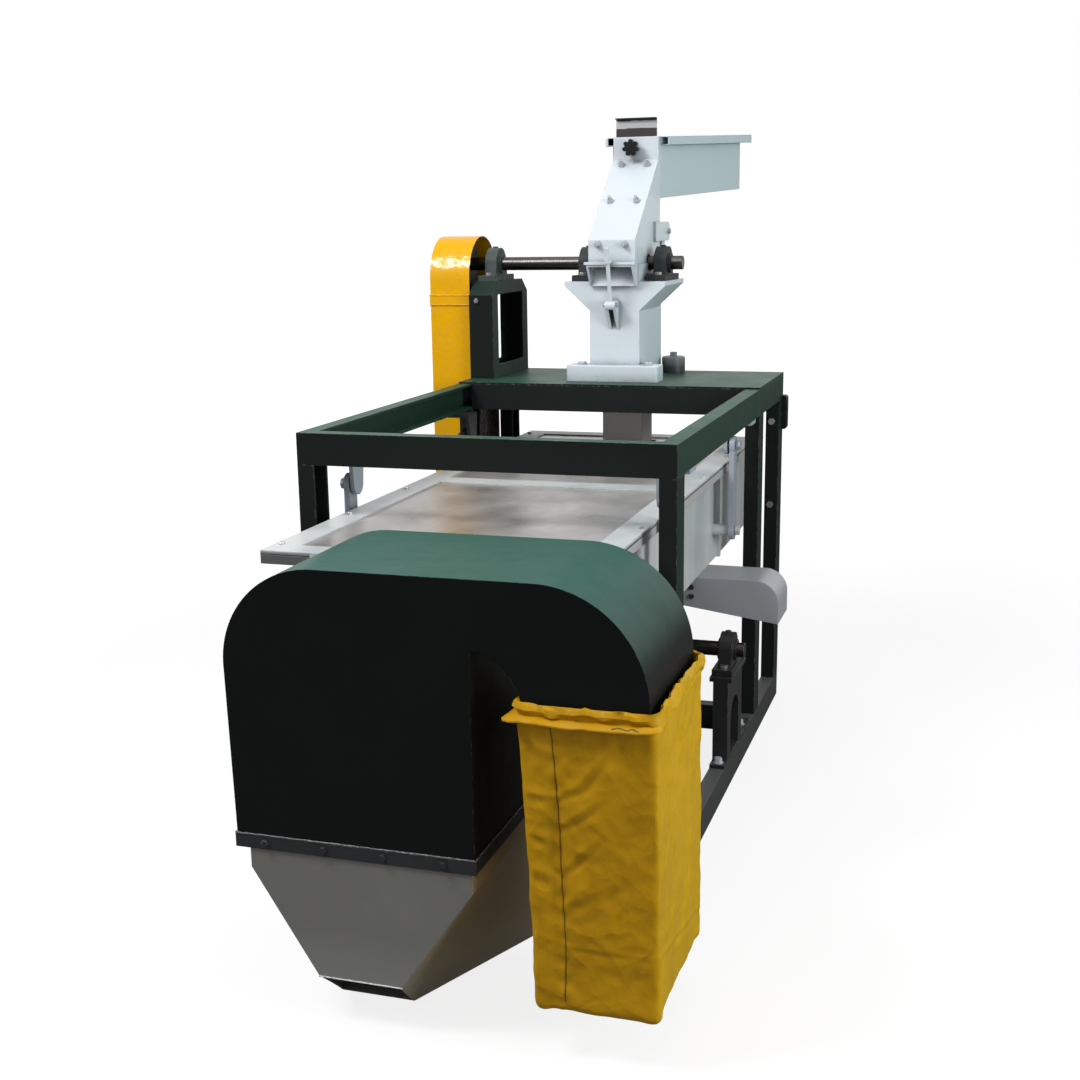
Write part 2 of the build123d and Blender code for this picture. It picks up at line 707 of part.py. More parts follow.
# Upper casing: side plates, rear wall, gate guides and hinge straps
with BuildPart() as upper_casing:
    plate = [
        (cover_y + COVER_T, shaft_z),
        (cover_y + COVER_T, knee_z - bend_shift),
        (throat_y + COVER_T, slant_z - bend_shift),
        (throat_y + COVER_T, cover_top),
        (hopper_y, cover_top),
        (hopper_y, sill_z),
        (casing_rear, sill_z),
        (casing_rear, shaft_z),
    ]
    outline(side(-UPPER_W / 2), plate, UPPER_W)
    inside = (-UPPER_W / 2 + CASING_WALL, UPPER_W / 2 - CASING_WALL)
    back_wall = casing_rear - CASING_WALL
    slab(inside, (cover_y, back_wall), (shaft_z, cover_top), Mode.SUBTRACT)
    slab(inside, (back_wall, hopper_y), (floor_z, cover_top), Mode.SUBTRACT)
    for sign in (-1, 1):
        guide = span(sign, UPPER_W / 2 - CASING_WALL - GATE_GUIDE, UPPER_W / 2 - CASING_WALL)
        slab(guide, (gate_y + GATE_T + GATE_PLAY, hopper_y), (floor_z, cover_top))
        strap_x = span(sign, UPPER_W / 2, UPPER_W / 2 + STRAP_T)
        slab(strap_x, (casing_rear - STRAP_D, hinge_y), (hinge_z - STRAP_H / 2, hinge_z + STRAP_H / 2))
        discs(side(strap_x[0]), [(hinge_y, hinge_z)], STRAP_H / 2, STRAP_T)
    discs(side(-UPPER_W), [(hinge_y, hinge_z)], HINGE_R + RUNNING, 2 * UPPER_W, Mode.SUBTRACT)
    discs(side(-UPPER_W), [(mill_y, shaft_z)], SHAFT_HOLE_R, 2 * UPPER_W, Mode.SUBTRACT)
upper_casing.part.label = "upper_casing"
export_step(upper_casing.part, "parts/upper_casing.step")

# Front cover: one sheet bent twice, with the latch lip along its lower edge
knob_z = cover_top - KNOB_DROP
with BuildPart() as front_cover:
    sheet = [
        (cover_y, shaft_z),
        (cover_y, knee_z),
        (throat_y, slant_z),
        (throat_y, cover_top),
        (throat_y + COVER_T, cover_top),
        (throat_y + COVER_T, slant_z - bend_shift),
        (cover_y + COVER_T, knee_z - bend_shift),
        (cover_y + COVER_T, shaft_z),
    ]
    outline(side(-UPPER_W / 2), sheet, UPPER_W)
    slab((-LIP_W / 2, LIP_W / 2), (cover_y - LIP_REACH, cover_y), (shaft_z, shaft_z + LIP_T))
    lip_z = (shaft_z, shaft_z + LIP_T)
    slab((-LIP_SLOT / 2, LIP_SLOT / 2), (cover_y - LIP_REACH, latch_y), lip_z, Mode.SUBTRACT)
    discs(level(shaft_z), [(0, latch_y)], LIP_SLOT / 2, LIP_T, Mode.SUBTRACT)
    discs(front(throat_y + COVER_T), [(KNOB_X, knob_z)], SMALL_R + RUNNING, COVER_T, Mode.SUBTRACT)
front_cover.part.label = "front_cover"
export_step(front_cover.part, "parts/front_cover.step")

# Studs of the cover with their nuts, two in each of three rows
with BuildPart() as cover_studs:
    slope = Plane((0, cover_y, knee_z), x_dir=X_AXIS, z_dir=(0, -cos(slant_angle), sin(slant_angle)))
    rise = hypot(SLANT_D, SLANT_H)
    rows = [
        (front(cover_y), knee_z - SMALL_FLATS),
        (slope, rise / 2 - STUD_MID_DROP),
        (slope, rise - 2 * SMALL_FLATS),
    ]
    for plane, height in rows:
        pair = [(-STUD_X, height), (STUD_X, height)]
        hexes(plane, pair, STUD_FLATS, STUD_NUT_H)
        discs(plane, pair, STUD_R, STUD_L)
cover_studs.part.label = "cover_studs"
export_step(cover_studs.part, "parts/cover_studs.step")

# Feed gate, which slides up behind the cover, with a folded lip to pull
gate_half = UPPER_W / 2 - CASING_WALL - GATE_SIDE_PLAY
gate_top = cover_top + GATE_RISE
with BuildPart() as gate:
    slab((-gate_half, gate_half), (gate_y, gate_y + GATE_T), (floor_z, gate_top))
    slab((-gate_half, gate_half), (gate_y - GATE_LIP, gate_y), (gate_top - GATE_T, gate_top))
gate.part.label = "gate"
export_step(gate.part, "parts/gate.step")

# Star knob whose screw clamps the gate
with BuildPart() as gate_knob:
    knob_y = throat_y - KNOB_STAND
    with BuildSketch(front(knob_y)):
        with Locations((KNOB_X, knob_z)):
            Circle(KNOB_CORE_R)
            with PolarLocations(KNOB_R - KNOB_LOBE_R, KNOB_LOBES, start_angle=90):
                Circle(KNOB_LOBE_R)
    extrude(amount=KNOB_T)
    discs(front(throat_y), [(KNOB_X, knob_z)], KNOB_NECK_R, KNOB_STAND)
    discs(front(throat_y + COVER_T), [(KNOB_X, knob_z)], SMALL_R, COVER_T)
gate_knob.part.label = "gate_knob"
export_step(gate_knob.part, "parts/gate_knob.step")


# Feed tray: a flared pan whose rim carries a boxed hem
def hopper_section(end_y, out, low, high):
    """The tray's section at end_y, set out by a distance, between two (level at the mouth, rise) pairs."""
    share = (end_y - hopper_y) / HOPPER_L
    half = UPPER_W / 2 + (HOPPER_REAR_W - UPPER_W) / 2 * share + out
    floor = low[0] + low[1] * share
    top = high[0] + high[1] * share
    with BuildSketch(front(end_y)) as face:
        with Locations((HOPPER_SKEW * share, (floor + top) / 2)):
            Rectangle(2 * half, top - floor)
    return face.sketch


def hopper_loft(end_y, out, low, high, mode=Mode.ADD):
    """The tray's form from its mouth to end_y."""
    sections = [hopper_section(y, out, low, high) for y in (hopper_y, end_y)]
    loft(sections, ruled=True, mode=mode)


hopper_rear = hopper_y + HOPPER_L
with BuildPart() as hopper:
    rim_top = (cover_top, HOPPER_RIM_RISE)
    hem_low = (cover_top - HEM, HOPPER_RIM_RISE)
    hopper_loft(hopper_rear + HEM, HEM, hem_low, rim_top)
    hem_floor = (cover_top - HEM + HEM_WALL, HOPPER_RIM_RISE)
    hem_roof = (cover_top - HEM_WALL, HOPPER_RIM_RISE)
    hopper_loft(hopper_rear + HEM - HEM_WALL, HEM - HEM_WALL, hem_floor, hem_roof, Mode.SUBTRACT)
    hopper_loft(hopper_rear, 0, (sill_z, HOPPER_RISE), rim_top)
    hopper_loft(hopper_rear - HOPPER_WALL, -HOPPER_WALL, (floor_z, HOPPER_RISE), rim_top, Mode.SUBTRACT)
hopper.part.label = "hopper"
export_step(hopper.part, "parts/hopper.step")

# Swing bolt of the latch, tilted clear of the lip, with its nut
tilt = radians(LATCH_TILT)
bolt_plane = Plane((0, latch_y, latch_z), x_dir=X_AXIS, z_dir=(0, -sin(tilt), cos(tilt)))
with BuildPart() as swing_bolt:
    discs(side(-LATCH_EYE_W / 2), [(latch_y, latch_z)], LATCH_EYE_R, LATCH_EYE_W)
    discs(bolt_plane, [(0, 0)], BOLT_R, LATCH_LENGTH)
    nut_at = LATCH_DROP + LIP_T + LATCH_NUT_GAP
    hexes(bolt_plane.offset(nut_at), [(0, 0)], BOLT_FLATS, LATCH_NUT_H)
    discs(side(-CASING_W), [(latch_y, latch_z)], LATCH_PIN_R + RUNNING, 2 * CASING_W, Mode.SUBTRACT)
swing_bolt.part.label = "swing_bolt"
export_step(swing_bolt.part, "parts/swing_bolt.step")

# Mill shaft, from the belt pulley to the free right end
mill_belt_x = [guard_x + MILL_BELT_IN + (i - (BELTS - 1) / 2) * GROOVE_PITCH for i in range(BELTS)]
pulley_x = (mill_belt_x[0] - PULLEY_EDGE, mill_belt_x[-1] + PULLEY_EDGE)
with BuildPart() as mill_shaft:
    discs(side(pulley_x[0]), [(mill_y, shaft_z)], SHAFT_R, MILL_SHAFT_RIGHT - pulley_x[0])
    chamfer(mill_shaft.edges().filter_by(GeomType.CIRCLE), SHAFT_CHAMFER)
mill_shaft.part.label = "mill_shaft"
export_step(mill_shaft.part, "parts/mill_shaft.step")

# Rotor: hub, two discs, four pins and the swinging hammers between the discs
with BuildPart() as rotor:
    mid = (mill_y, shaft_z)
    half_rotor = ROTOR_W / 2
    discs(side(-half_rotor), [mid], ROTOR_HUB_R, ROTOR_W)
    for x in (-half_rotor, half_rotor - ROTOR_DISC_T):
        discs(side(x), [mid], ROTOR_DISC_R, ROTOR_DISC_T)
    room = ROTOR_W - 2 * ROTOR_DISC_T
    for i in range(HAMMERS_PER_PIN):
        x = -room / 2 + (i + 0.5) * room / HAMMERS_PER_PIN - HAMMER_T / 2
        with BuildSketch(side(x)) as hammer:
            with Locations(mid):
                Circle(ROTOR_R)
                Rectangle(2 * ROTOR_R, HAMMER_B, mode=Mode.INTERSECT)
        extrude(amount=HAMMER_T)
        with BuildSketch(side(x)) as hammer:
            with Locations(mid):
                Circle(ROTOR_R)
                Rectangle(HAMMER_B, 2 * ROTOR_R, mode=Mode.INTERSECT)
        extrude(amount=HAMMER_T)
    with BuildSketch(side(-half_rotor)):
        with Locations(mid):
            with PolarLocations(ROTOR_PIN_CIRCLE, ROTOR_PINS):
                Circle(ROTOR_PIN_R)
    extrude(amount=ROTOR_W)
    discs(side(-half_rotor), [mid], SHAFT_R, ROTOR_W, Mode.SUBTRACT)
rotor.part.label = "rotor"
export_step(rotor.part, "parts/rotor.step")

# Half-round sieve under the rotor, slotted along its length
with BuildPart() as mill_sieve:
    inner_r = ROTOR_R + SIEVE_GAP
    half = CASING_W / 2 - CASING_WALL
    with BuildSketch(side(-half)):
        with Locations((mill_y, shaft_z)):
            Circle(inner_r + SIEVE_T)
            Circle(inner_r, mode=Mode.SUBTRACT)
        with Locations((mill_y, shaft_z - CASING_FLANGE_T)):
            Rectangle(4 * inner_r, 2 * inner_r, align=(Align.CENTER, Align.MIN), mode=Mode.SUBTRACT)
        with Locations((mill_y, shaft_z)):
            with PolarLocations(inner_r, SIEVE_SLOTS, 270 - SIEVE_ARC / 2, SIEVE_ARC, endpoint=True):
                Rectangle(4 * SIEVE_T, SIEVE_SLOT, mode=Mode.SUBTRACT)
    extrude(amount=2 * half)
    for sign in (-1, 1):
        edge = span(sign, half - SIEVE_GAP, half)
        with BuildSketch(side(edge[0])):
            with Locations((mill_y, shaft_z)):
                Circle(inner_r + SIEVE_T)
                Circle(inner_r, mode=Mode.SUBTRACT)
            with Locations((mill_y, shaft_z - CASING_FLANGE_T)):
                Rectangle(4 * inner_r, 2 * inner_r, align=(Align.CENTER, Align.MIN), mode=Mode.SUBTRACT)
        extrude(amount=SIEVE_GAP)
mill_sieve.part.label = "mill_sieve"
export_step(mill_sieve.part, "parts/mill_sieve.step")

# Pillow blocks of the mill and of the eccentric shaft, with their bolts
mill_blocks = [(x, mill_y, shelf_z) for x in (-MILL_BLOCK_X, MILL_BLOCK_X, pedestal_x)]
ecc_blocks = [(x, ecc_y, ecc_z - BLOCK_CENTRE) for x in (-stand_x, stand_x)]
with BuildPart() as mill_bearings:
    for place in mill_blocks:
        pillow_block(*place)
mill_bearings.part.label = "mill_bearings"
export_step(mill_bearings.part, "parts/mill_bearings.step")

with BuildPart() as ecc_bearings:
    for place in ecc_blocks:
        pillow_block(*place)
ecc_bearings.part.label = "ecc_bearings"
export_step(ecc_bearings.part, "parts/ecc_bearings.step")

# Pedestal of the left bearing: a bent plate box with side windows and cut top corners
with BuildPart() as pedestal:
    high_y = pedestal_low + PEDESTAL_D
    profile = [
        (pedestal_low, table_z),
        (high_y, table_z),
        (high_y, shelf_z - PEDESTAL_CUT_H),
        (high_y - PEDESTAL_CUT_D, shelf_z),
        (pedestal_low + PEDESTAL_CUT_D, shelf_z),
        (pedestal_low, shelf_z - PEDESTAL_CUT_H),
    ]
    outline(side(-half_w), profile, PEDESTAL_W)
    with BuildSketch(side(-half_w)):
        with Locations(((pedestal_low + high_y) / 2, (table_z + shelf_z) / 2)):
            RectangleRounded(PEDESTAL_WINDOW_D, PEDESTAL_WINDOW_H, PEDESTAL_WALL)
    extrude(amount=PEDESTAL_W, mode=Mode.SUBTRACT)
    slab(
        (-half_w + PEDESTAL_WALL, -half_w + PEDESTAL_W - PEDESTAL_WALL),
        (pedestal_low + PEDESTAL_WALL, high_y - PEDESTAL_WALL),
        (table_z, shelf_z - PEDESTAL_CUT_H - PEDESTAL_WALL),
        Mode.SUBTRACT,
    )
pedestal.part.label = "pedestal"
export_step(pedestal.part, "parts/pedestal.step")

# Round boss bolted to the table beside the column
with BuildPart() as boss:
    discs(level(table_z), [boss_at], BOSS_R, BOSS_H)
    fillet(boss.edges().group_by(Axis.Z)[-1], BOSS_FILLET)
    hexes(level(table_z + BOSS_H), [boss_at], BOLT_FLATS, LATCH_NUT_H)
boss.part.label = "boss"
export_step(boss.part, "parts/boss.step")

# Duct that carries the ground grain from the table down into the screen box
with BuildPart() as discharge_duct:
    outer_x = (-DUCT_W / 2, DUCT_W / 2)
    outer_y = (duct_y[0] - DUCT_WALL, duct_y[1] + DUCT_WALL)
    duct_z = (FRAME_H - DUCT_DROP, FRAME_H)
    slab(outer_x, outer_y, duct_z)
    slab(duct_x, duct_y, duct_z, Mode.SUBTRACT)
discharge_duct.part.label = "discharge_duct"
export_step(discharge_duct.part, "parts/discharge_duct.step")

# Pulleys of the mill, of the motor with its shaft, and of the eccentric shaft
small_x = (pulley_x[1], screen_belt_x + PULLEY_EDGE)
with BuildPart() as mill_pulley:
    rim = [point for x in mill_belt_x for point in groove(x, MILL_PULLEY_R)]
    near, far = pulley_x
    profile = [(near, SHAFT_R), (near, MILL_PULLEY_R), *rim, (far, MILL_PULLEY_R), (far, SHAFT_R)]
    turned(mill_y, shaft_z, profile)
mill_pulley.part.label = "mill_pulley"
export_step(mill_pulley.part, "parts/mill_pulley.step")

with BuildPart() as motor_pulley:
    rim = [point for x in mill_belt_x for point in groove(x, MOTOR_PULLEY_R)]
    turned(
        mill_y,
        motor_z,
        [
            (pulley_x[0], MOTOR_SHAFT_R),
            (pulley_x[0], MOTOR_PULLEY_R),
            *rim,
            (pulley_x[1], MOTOR_PULLEY_R),
            (small_x[0], MOTOR_SMALL_R),
            *groove(screen_belt_x, MOTOR_SMALL_R),
            (small_x[1], MOTOR_SMALL_R),
            (small_x[1], MOTOR_SHAFT_R),
        ],
    )
motor_pulley.part.label = "motor_pulley"
export_step(motor_pulley.part, "parts/motor_pulley.step")

with BuildPart() as motor_shaft:
    motor_at = [(mill_y, motor_z)]
    discs(side(motor_x - MOTOR_SHAFT_L), motor_at, MOTOR_SHAFT_R, MOTOR_SHAFT_L + MOTOR_SHIELD_L)
    fan_at = motor_x + MOTOR_SHIELD_L + MOTOR_STATOR_L + MOTOR_FAN_L / 4
    discs(side(fan_at), motor_at, FAN_DISC_R, MOTOR_FIN_T)
    with BuildSketch(side(fan_at)):
        with Locations((mill_y, motor_z)):
            with PolarLocations(FAN_DISC_R - FAN_BLADE_L / 2, FAN_BLADES):
                Rectangle(FAN_BLADE_L, MOTOR_FIN_T)
    extrude(amount=MOTOR_FAN_L / 3)
motor_shaft.part.label = "motor_shaft"
export_step(motor_shaft.part, "parts/motor_shaft.step")

with BuildPart() as ecc_pulley:
    edges = (screen_belt_x - PULLEY_EDGE, screen_belt_x + PULLEY_EDGE)
    rim = groove(screen_belt_x, ECC_PULLEY_R)
    near, far = edges
    profile = [(near, SHAFT_R), (near, ECC_PULLEY_R), *rim, (far, ECC_PULLEY_R), (far, SHAFT_R)]
    turned(ecc_y, ecc_z, profile)
    window_r = (ECC_PULLEY_R - GROOVE_DEPTH - PULLEY_RIM - 2 * SHAFT_R) / 2
    with BuildSketch(side(edges[0])):
        with Locations((ecc_y, ecc_z)):
            with PolarLocations(2 * SHAFT_R + window_r, PULLEY_WINDOWS):
                Circle(window_r - PULLEY_WEB)
    extrude(amount=2 * PULLEY_EDGE, mode=Mode.SUBTRACT)
ecc_pulley.part.label = "ecc_pulley"
export_step(ecc_pulley.part, "parts/ecc_pulley.step")

# Wedge belts
with BuildPart() as mill_belts:
    for x in mill_belt_x:
        belt(x, (mill_y, motor_z, MOTOR_PULLEY_R - BELT_SINK), (mill_y, shaft_z, MILL_PULLEY_R - BELT_SINK))
mill_belts.part.label = "mill_belts"
export_step(mill_belts.part, "parts/mill_belts.step")

with BuildPart() as screen_belt:
    driver = (mill_y, motor_z, MOTOR_SMALL_R - BELT_SINK)
    belt(screen_belt_x, driver, (ecc_y, ecc_z, ECC_PULLEY_R - BELT_SINK))
screen_belt.part.label = "screen_belt"
export_step(screen_belt.part, "parts/screen_belt.step")


# Belt guard: a rounded sheet box in two halves, the cap open to the bearing and lapped over the body
def guard_solid(grow, mode=Mode.ADD):
    """The guard's rounded form, larger on every side by a distance."""
    with BuildSketch(side(guard_x - grow)) as face:
        with Locations((mill_y, motor_z), (mill_y, guard_top_z)):
            Circle(GUARD_R + grow)
        with Locations((mill_y, (motor_z + guard_top_z) / 2)):
            Rectangle(2 * (GUARD_R + grow), guard_top_z - motor_z)
    extrude(face.sketch, amount=GUARD_W + 2 * grow, mode=mode)


seam_z = shaft_z - GUARD_SEAM_DROP
lap_z = seam_z + GUARD_LAP
guard_front = mill_y - GUARD_R
wide = (guard_x - GUARD_R, guard_x + GUARD_W + GUARD_R)
deep = (mill_y - 2 * GUARD_R, mill_y + 2 * GUARD_R)
with BuildPart() as guard_body:
    guard_solid(0)
    guard_solid(-GUARD_WALL, Mode.SUBTRACT)
    slab(wide, deep, (lap_z, shaft_z + 2 * GUARD_R), Mode.SUBTRACT)
    discs(side(guard_x + GUARD_W / 2), [(mill_y, motor_z)], MOTOR_SMALL_R, GUARD_W, Mode.SUBTRACT)
    slot_x = (screen_belt_x - GUARD_SLOT_W / 2, screen_belt_x + GUARD_SLOT_W / 2)
    share = GUARD_R / (mill_y - ecc_y)
    belt_low = motor_z - MOTOR_SMALL_R + share * (ecc_z - ECC_PULLEY_R - motor_z + MOTOR_SMALL_R)
    belt_high = motor_z + MOTOR_SMALL_R + share * (ecc_z + ECC_PULLEY_R - motor_z - MOTOR_SMALL_R)
    slot_z = (belt_low - GUARD_SLOT_PLAY, belt_high + GUARD_SLOT_PLAY)
    slab(slot_x, (guard_front - GUARD_WALL, guard_front + GUARD_R / 3), slot_z, Mode.SUBTRACT)
guard_body.part.label = "guard_body"
export_step(guard_body.part, "parts/guard_body.step")

with BuildPart() as cap_lap:
    guard_solid(GUARD_WALL)
    guard_solid(0, Mode.SUBTRACT)
    slab(wide, deep, (0, seam_z), Mode.SUBTRACT)
    slab(wide, deep, (lap_z + GUARD_WALL, shaft_z + 2 * GUARD_R), Mode.SUBTRACT)

with BuildPart() as guard_cap:
    guard_solid(0)
    guard_solid(-GUARD_WALL, Mode.SUBTRACT)
    slab(wide, deep, (0, lap_z), Mode.SUBTRACT)
    open_x = guard_x + GUARD_W / 2
    open_r = GUARD_R - GUARD_WALL
    discs(side(open_x), [(mill_y, guard_top_z)], open_r, GUARD_W, Mode.SUBTRACT)
    slab((open_x, wide[1]), (mill_y - open_r, mill_y + open_r), (lap_z, guard_top_z), Mode.SUBTRACT)
    add(cap_lap.part)
guard_cap.part.label = "guard_cap"
export_step(guard_cap.part, "parts/guard_cap.step")

# Guard fixings: spacers to the top rail and the motor plate
with BuildPart() as guard_spacers:
    for y in (mill_y - GUARD_R / 2, mill_y + GUARD_R / 2):
        web_z = (rail_z + CHANNEL_FLANGE, FRAME_H - CHANNEL_FLANGE)
        slab((guard_right, -half_w), (y - GUARD_SPACER / 2, y + GUARD_SPACER / 2), web_z)
    bracket = [
        (guard_right, motor_plate_z),
        (-half_w + GUARD_SPACER, motor_plate_z),
        (-half_w + GUARD_SPACER, motor_plate_z + GUARD_LAP / 3),
        (-half_w, motor_plate_z + GUARD_LAP / 3),
        (-half_w, motor_plate_z + 2 * GUARD_SPACER),
        (guard_right, motor_plate_z + 2 * GUARD_SPACER),
    ]
    outline(front(mill_y - GUARD_R / 2 - GUARD_SPACER / 4), bracket, GUARD_SPACER / 2)
guard_spacers.part.label = "guard_spacers"
export_step(guard_spacers.part, "parts/guard_spacers.step")

# Motor: finned stator with end shields, fan cover, feet, terminal box, plate and rail
stator_x = motor_x + MOTOR_SHIELD_L
fan_x = stator_x + MOTOR_STATOR_L
foot_x = (motor_x + MOTOR_FOOT_C, motor_x + MOTOR_FOOT_C + MOTOR_FOOT_B)
foot_at = [(x, mill_y + sign * MOTOR_FOOT_A / 2) for x in foot_x for sign in (-1, 1)]
with BuildPart() as motor:
    turned(
        mill_y,
        motor_z,
        [
            (motor_x, MOTOR_SHAFT_R + RUNNING),
            (motor_x, MOTOR_SHAFT_R * 2),
            (stator_x - MOTOR_SHIELD_L / 2, MOTOR_R),
            (fan_x, MOTOR_R),
            (fan_x, 0),
            (stator_x, 0),
            (stator_x, MOTOR_SHAFT_R + RUNNING),
        ],
    )
    with BuildSketch(side(stator_x)):
        with Locations((mill_y, motor_z)):
            with PolarLocations(MOTOR_R + (MOTOR_FIN - MOTOR_FIN_ROOT) / 2, MOTOR_FINS):
                Rectangle(MOTOR_FIN + MOTOR_FIN_ROOT, MOTOR_FIN_T)
    extrude(amount=MOTOR_STATOR_L)
    base_z = (motor_plate_z, motor_plate_z + MOTOR_FOOT_T)
    for x, y in foot_at:
        inward = 1 if y < mill_y else -1
        pad = sorted((y - inward * MOTOR_FOOT_PAD / 2, mill_y - inward * MOTOR_R / 3))
        slab((x - MOTOR_FOOT_PAD / 2, x + MOTOR_FOOT_PAD / 2), pad, base_z)
        leg = sorted((y + inward * MOTOR_FOOT_PAD / 2, y + inward * (MOTOR_FOOT_PAD / 2 + MOTOR_FOOT_LEG)))
        slab((x - MOTOR_FOOT_PAD / 2, x + MOTOR_FOOT_PAD / 2), leg, (motor_plate_z, motor_z - MOTOR_R / 2))
    discs(level(motor_plate_z), foot_at, BOLT_R, MOTOR_FOOT_T, Mode.SUBTRACT)
    box_x = (stator_x + MOTOR_FIN, stator_x + MOTOR_FIN + MOTOR_BOX_L)
    box_base = motor_z + MOTOR_R + MOTOR_NECK_H
    neck_y_span = (mill_y - MOTOR_R / 3, mill_y + MOTOR_R / 3)
    slab((box_x[0] + MOTOR_FIN, box_x[1] - MOTOR_FIN), neck_y_span, (motor_z, box_base))
motor.part.label = "motor"
export_step(motor.part, "parts/motor.step")

with BuildPart() as terminal_box:
    box_y = (mill_y - MOTOR_BOX_W / 2, mill_y + MOTOR_BOX_W / 2)
    box_z = (box_base, box_base + MOTOR_BOX_H)
    slab(box_x, box_y, box_z)
    fillet(terminal_box.edges().filter_by(Axis.Z), MOTOR_FIN / 2)
    gland = ((box_x[0] + box_x[1]) / 2, (box_z[0] + box_z[1]) / 2)
    hexes(front(box_y[0]), [gland], BOLT_FLATS + MOTOR_FIN_T, MOTOR_FIN)
    discs(front(box_y[0] - MOTOR_FIN), [gland], BOLT_R, MOTOR_FIN / 2, Mode.SUBTRACT)
terminal_box.part.label = "terminal_box"
export_step(terminal_box.part, "parts/terminal_box.step")

with BuildPart() as fan_cover:
    cover_end = fan_x + MOTOR_FAN_L
    turned(
        mill_y,
        motor_z,
        [
            (fan_x, MOTOR_FAN_R - MOTOR_FIN_T),
            (fan_x, MOTOR_FAN_R),
            (cover_end - MOTOR_FIN, MOTOR_FAN_R),
            (cover_end, MOTOR_FAN_R - MOTOR_FIN),
            (cover_end, 0),
            (cover_end - MOTOR_FIN_T, 0),
            (cover_end - MOTOR_FIN_T, MOTOR_FAN_R - MOTOR_FIN),
            (cover_end - MOTOR_FIN, MOTOR_FAN_R - MOTOR_FIN_T),
        ],
    )
    with BuildSketch(side(cover_end - MOTOR_FIN_T)):
        with Locations((mill_y, motor_z)):
            with PolarLocations(MOTOR_R / 2, FAN_SLOTS):
                SlotOverall(FAN_SLOT_L, MOTOR_FIN / 2)
    extrude(amount=MOTOR_FIN_T, mode=Mode.SUBTRACT)
fan_cover.part.label = "fan_cover"
export_step(fan_cover.part, "parts/fan_cover.step")

plate_x = (-half_w, -half_w + MOTOR_PLATE_L)
with BuildPart() as motor_plate:
    slab((-inner_x, plate_x[1]), (cross_rail_y, motor_plate_rear), (CHANNEL_H, motor_plate_z))
    slab((-half_w, -inner_x), (mid_post_y + CHANNEL_H, half_d - CHANNEL_H), (CHANNEL_H, motor_plate_z))
    channel(front(motor_plate_rear), plate_x[1], 0, -1, motor_plate_rear - cross_rail_y - CHANNEL_B)
motor_plate.part.label = "motor_plate"
export_step(motor_plate.part, "parts/motor_plate.step")

# Bolts of the pillow blocks, the motor feet and the rear right post
with BuildPart() as frame_bolts:
    for place in mill_blocks + ecc_blocks:
        pillow_bolts(*place)
    discs(level(motor_plate_z), foot_at, BOLT_R, MOTOR_FOOT_T)
    hexes(level(motor_plate_z + MOTOR_FOOT_T), foot_at, BOLT_FLATS, BOLT_HEAD)
    post_at = [(half_w - ANCHOR_INSET, rail_z - drop) for drop in POST_BOLT_DROPS]
    hexes(front(half_d - CHANNEL_H), post_at, BOLT_FLATS, BOLT_HEAD)
    pedestal_at = (-half_w + PEDESTAL_BOLT_IN, shelf_z - PEDESTAL_BOLT_DROP)
    hexes(front(pedestal_low), [pedestal_at], SMALL_FLATS, SMALL_HEAD)
frame_bolts.part.label = "frame_bolts"
export_step(frame_bolts.part, "parts/frame_bolts.step")


# Screen box: plan outlines of the trough and of its rim
def trough_plan(inset):
    """The trough's outline at a distance inside its outer face, open at the neck."""
    half, neck = trough_w / 2 - inset, NECK_W / 2 - inset
    rear = rim_rear - RIM_REACH - inset
    return [(-half, rear), (half, rear), (half, taper_y), (neck, neck_y), (-neck, neck_y), (-half, taper_y)]


def rim_plate(z, thickness):
    """A plate with the rim's outline: a rectangle with the neck in front."""
    half = rim_w / 2
    with BuildSketch(level(z)) as face:
        with BuildLine():
            Polyline((-half, rim_rear), (half, rim_rear), (half, rim_front), (-half, rim_front), close=True)
        make_face()
        with BuildLine():
            Polyline(*trough_plan(0), close=True)
        make_face()
    extrude(face.sketch, amount=thickness)


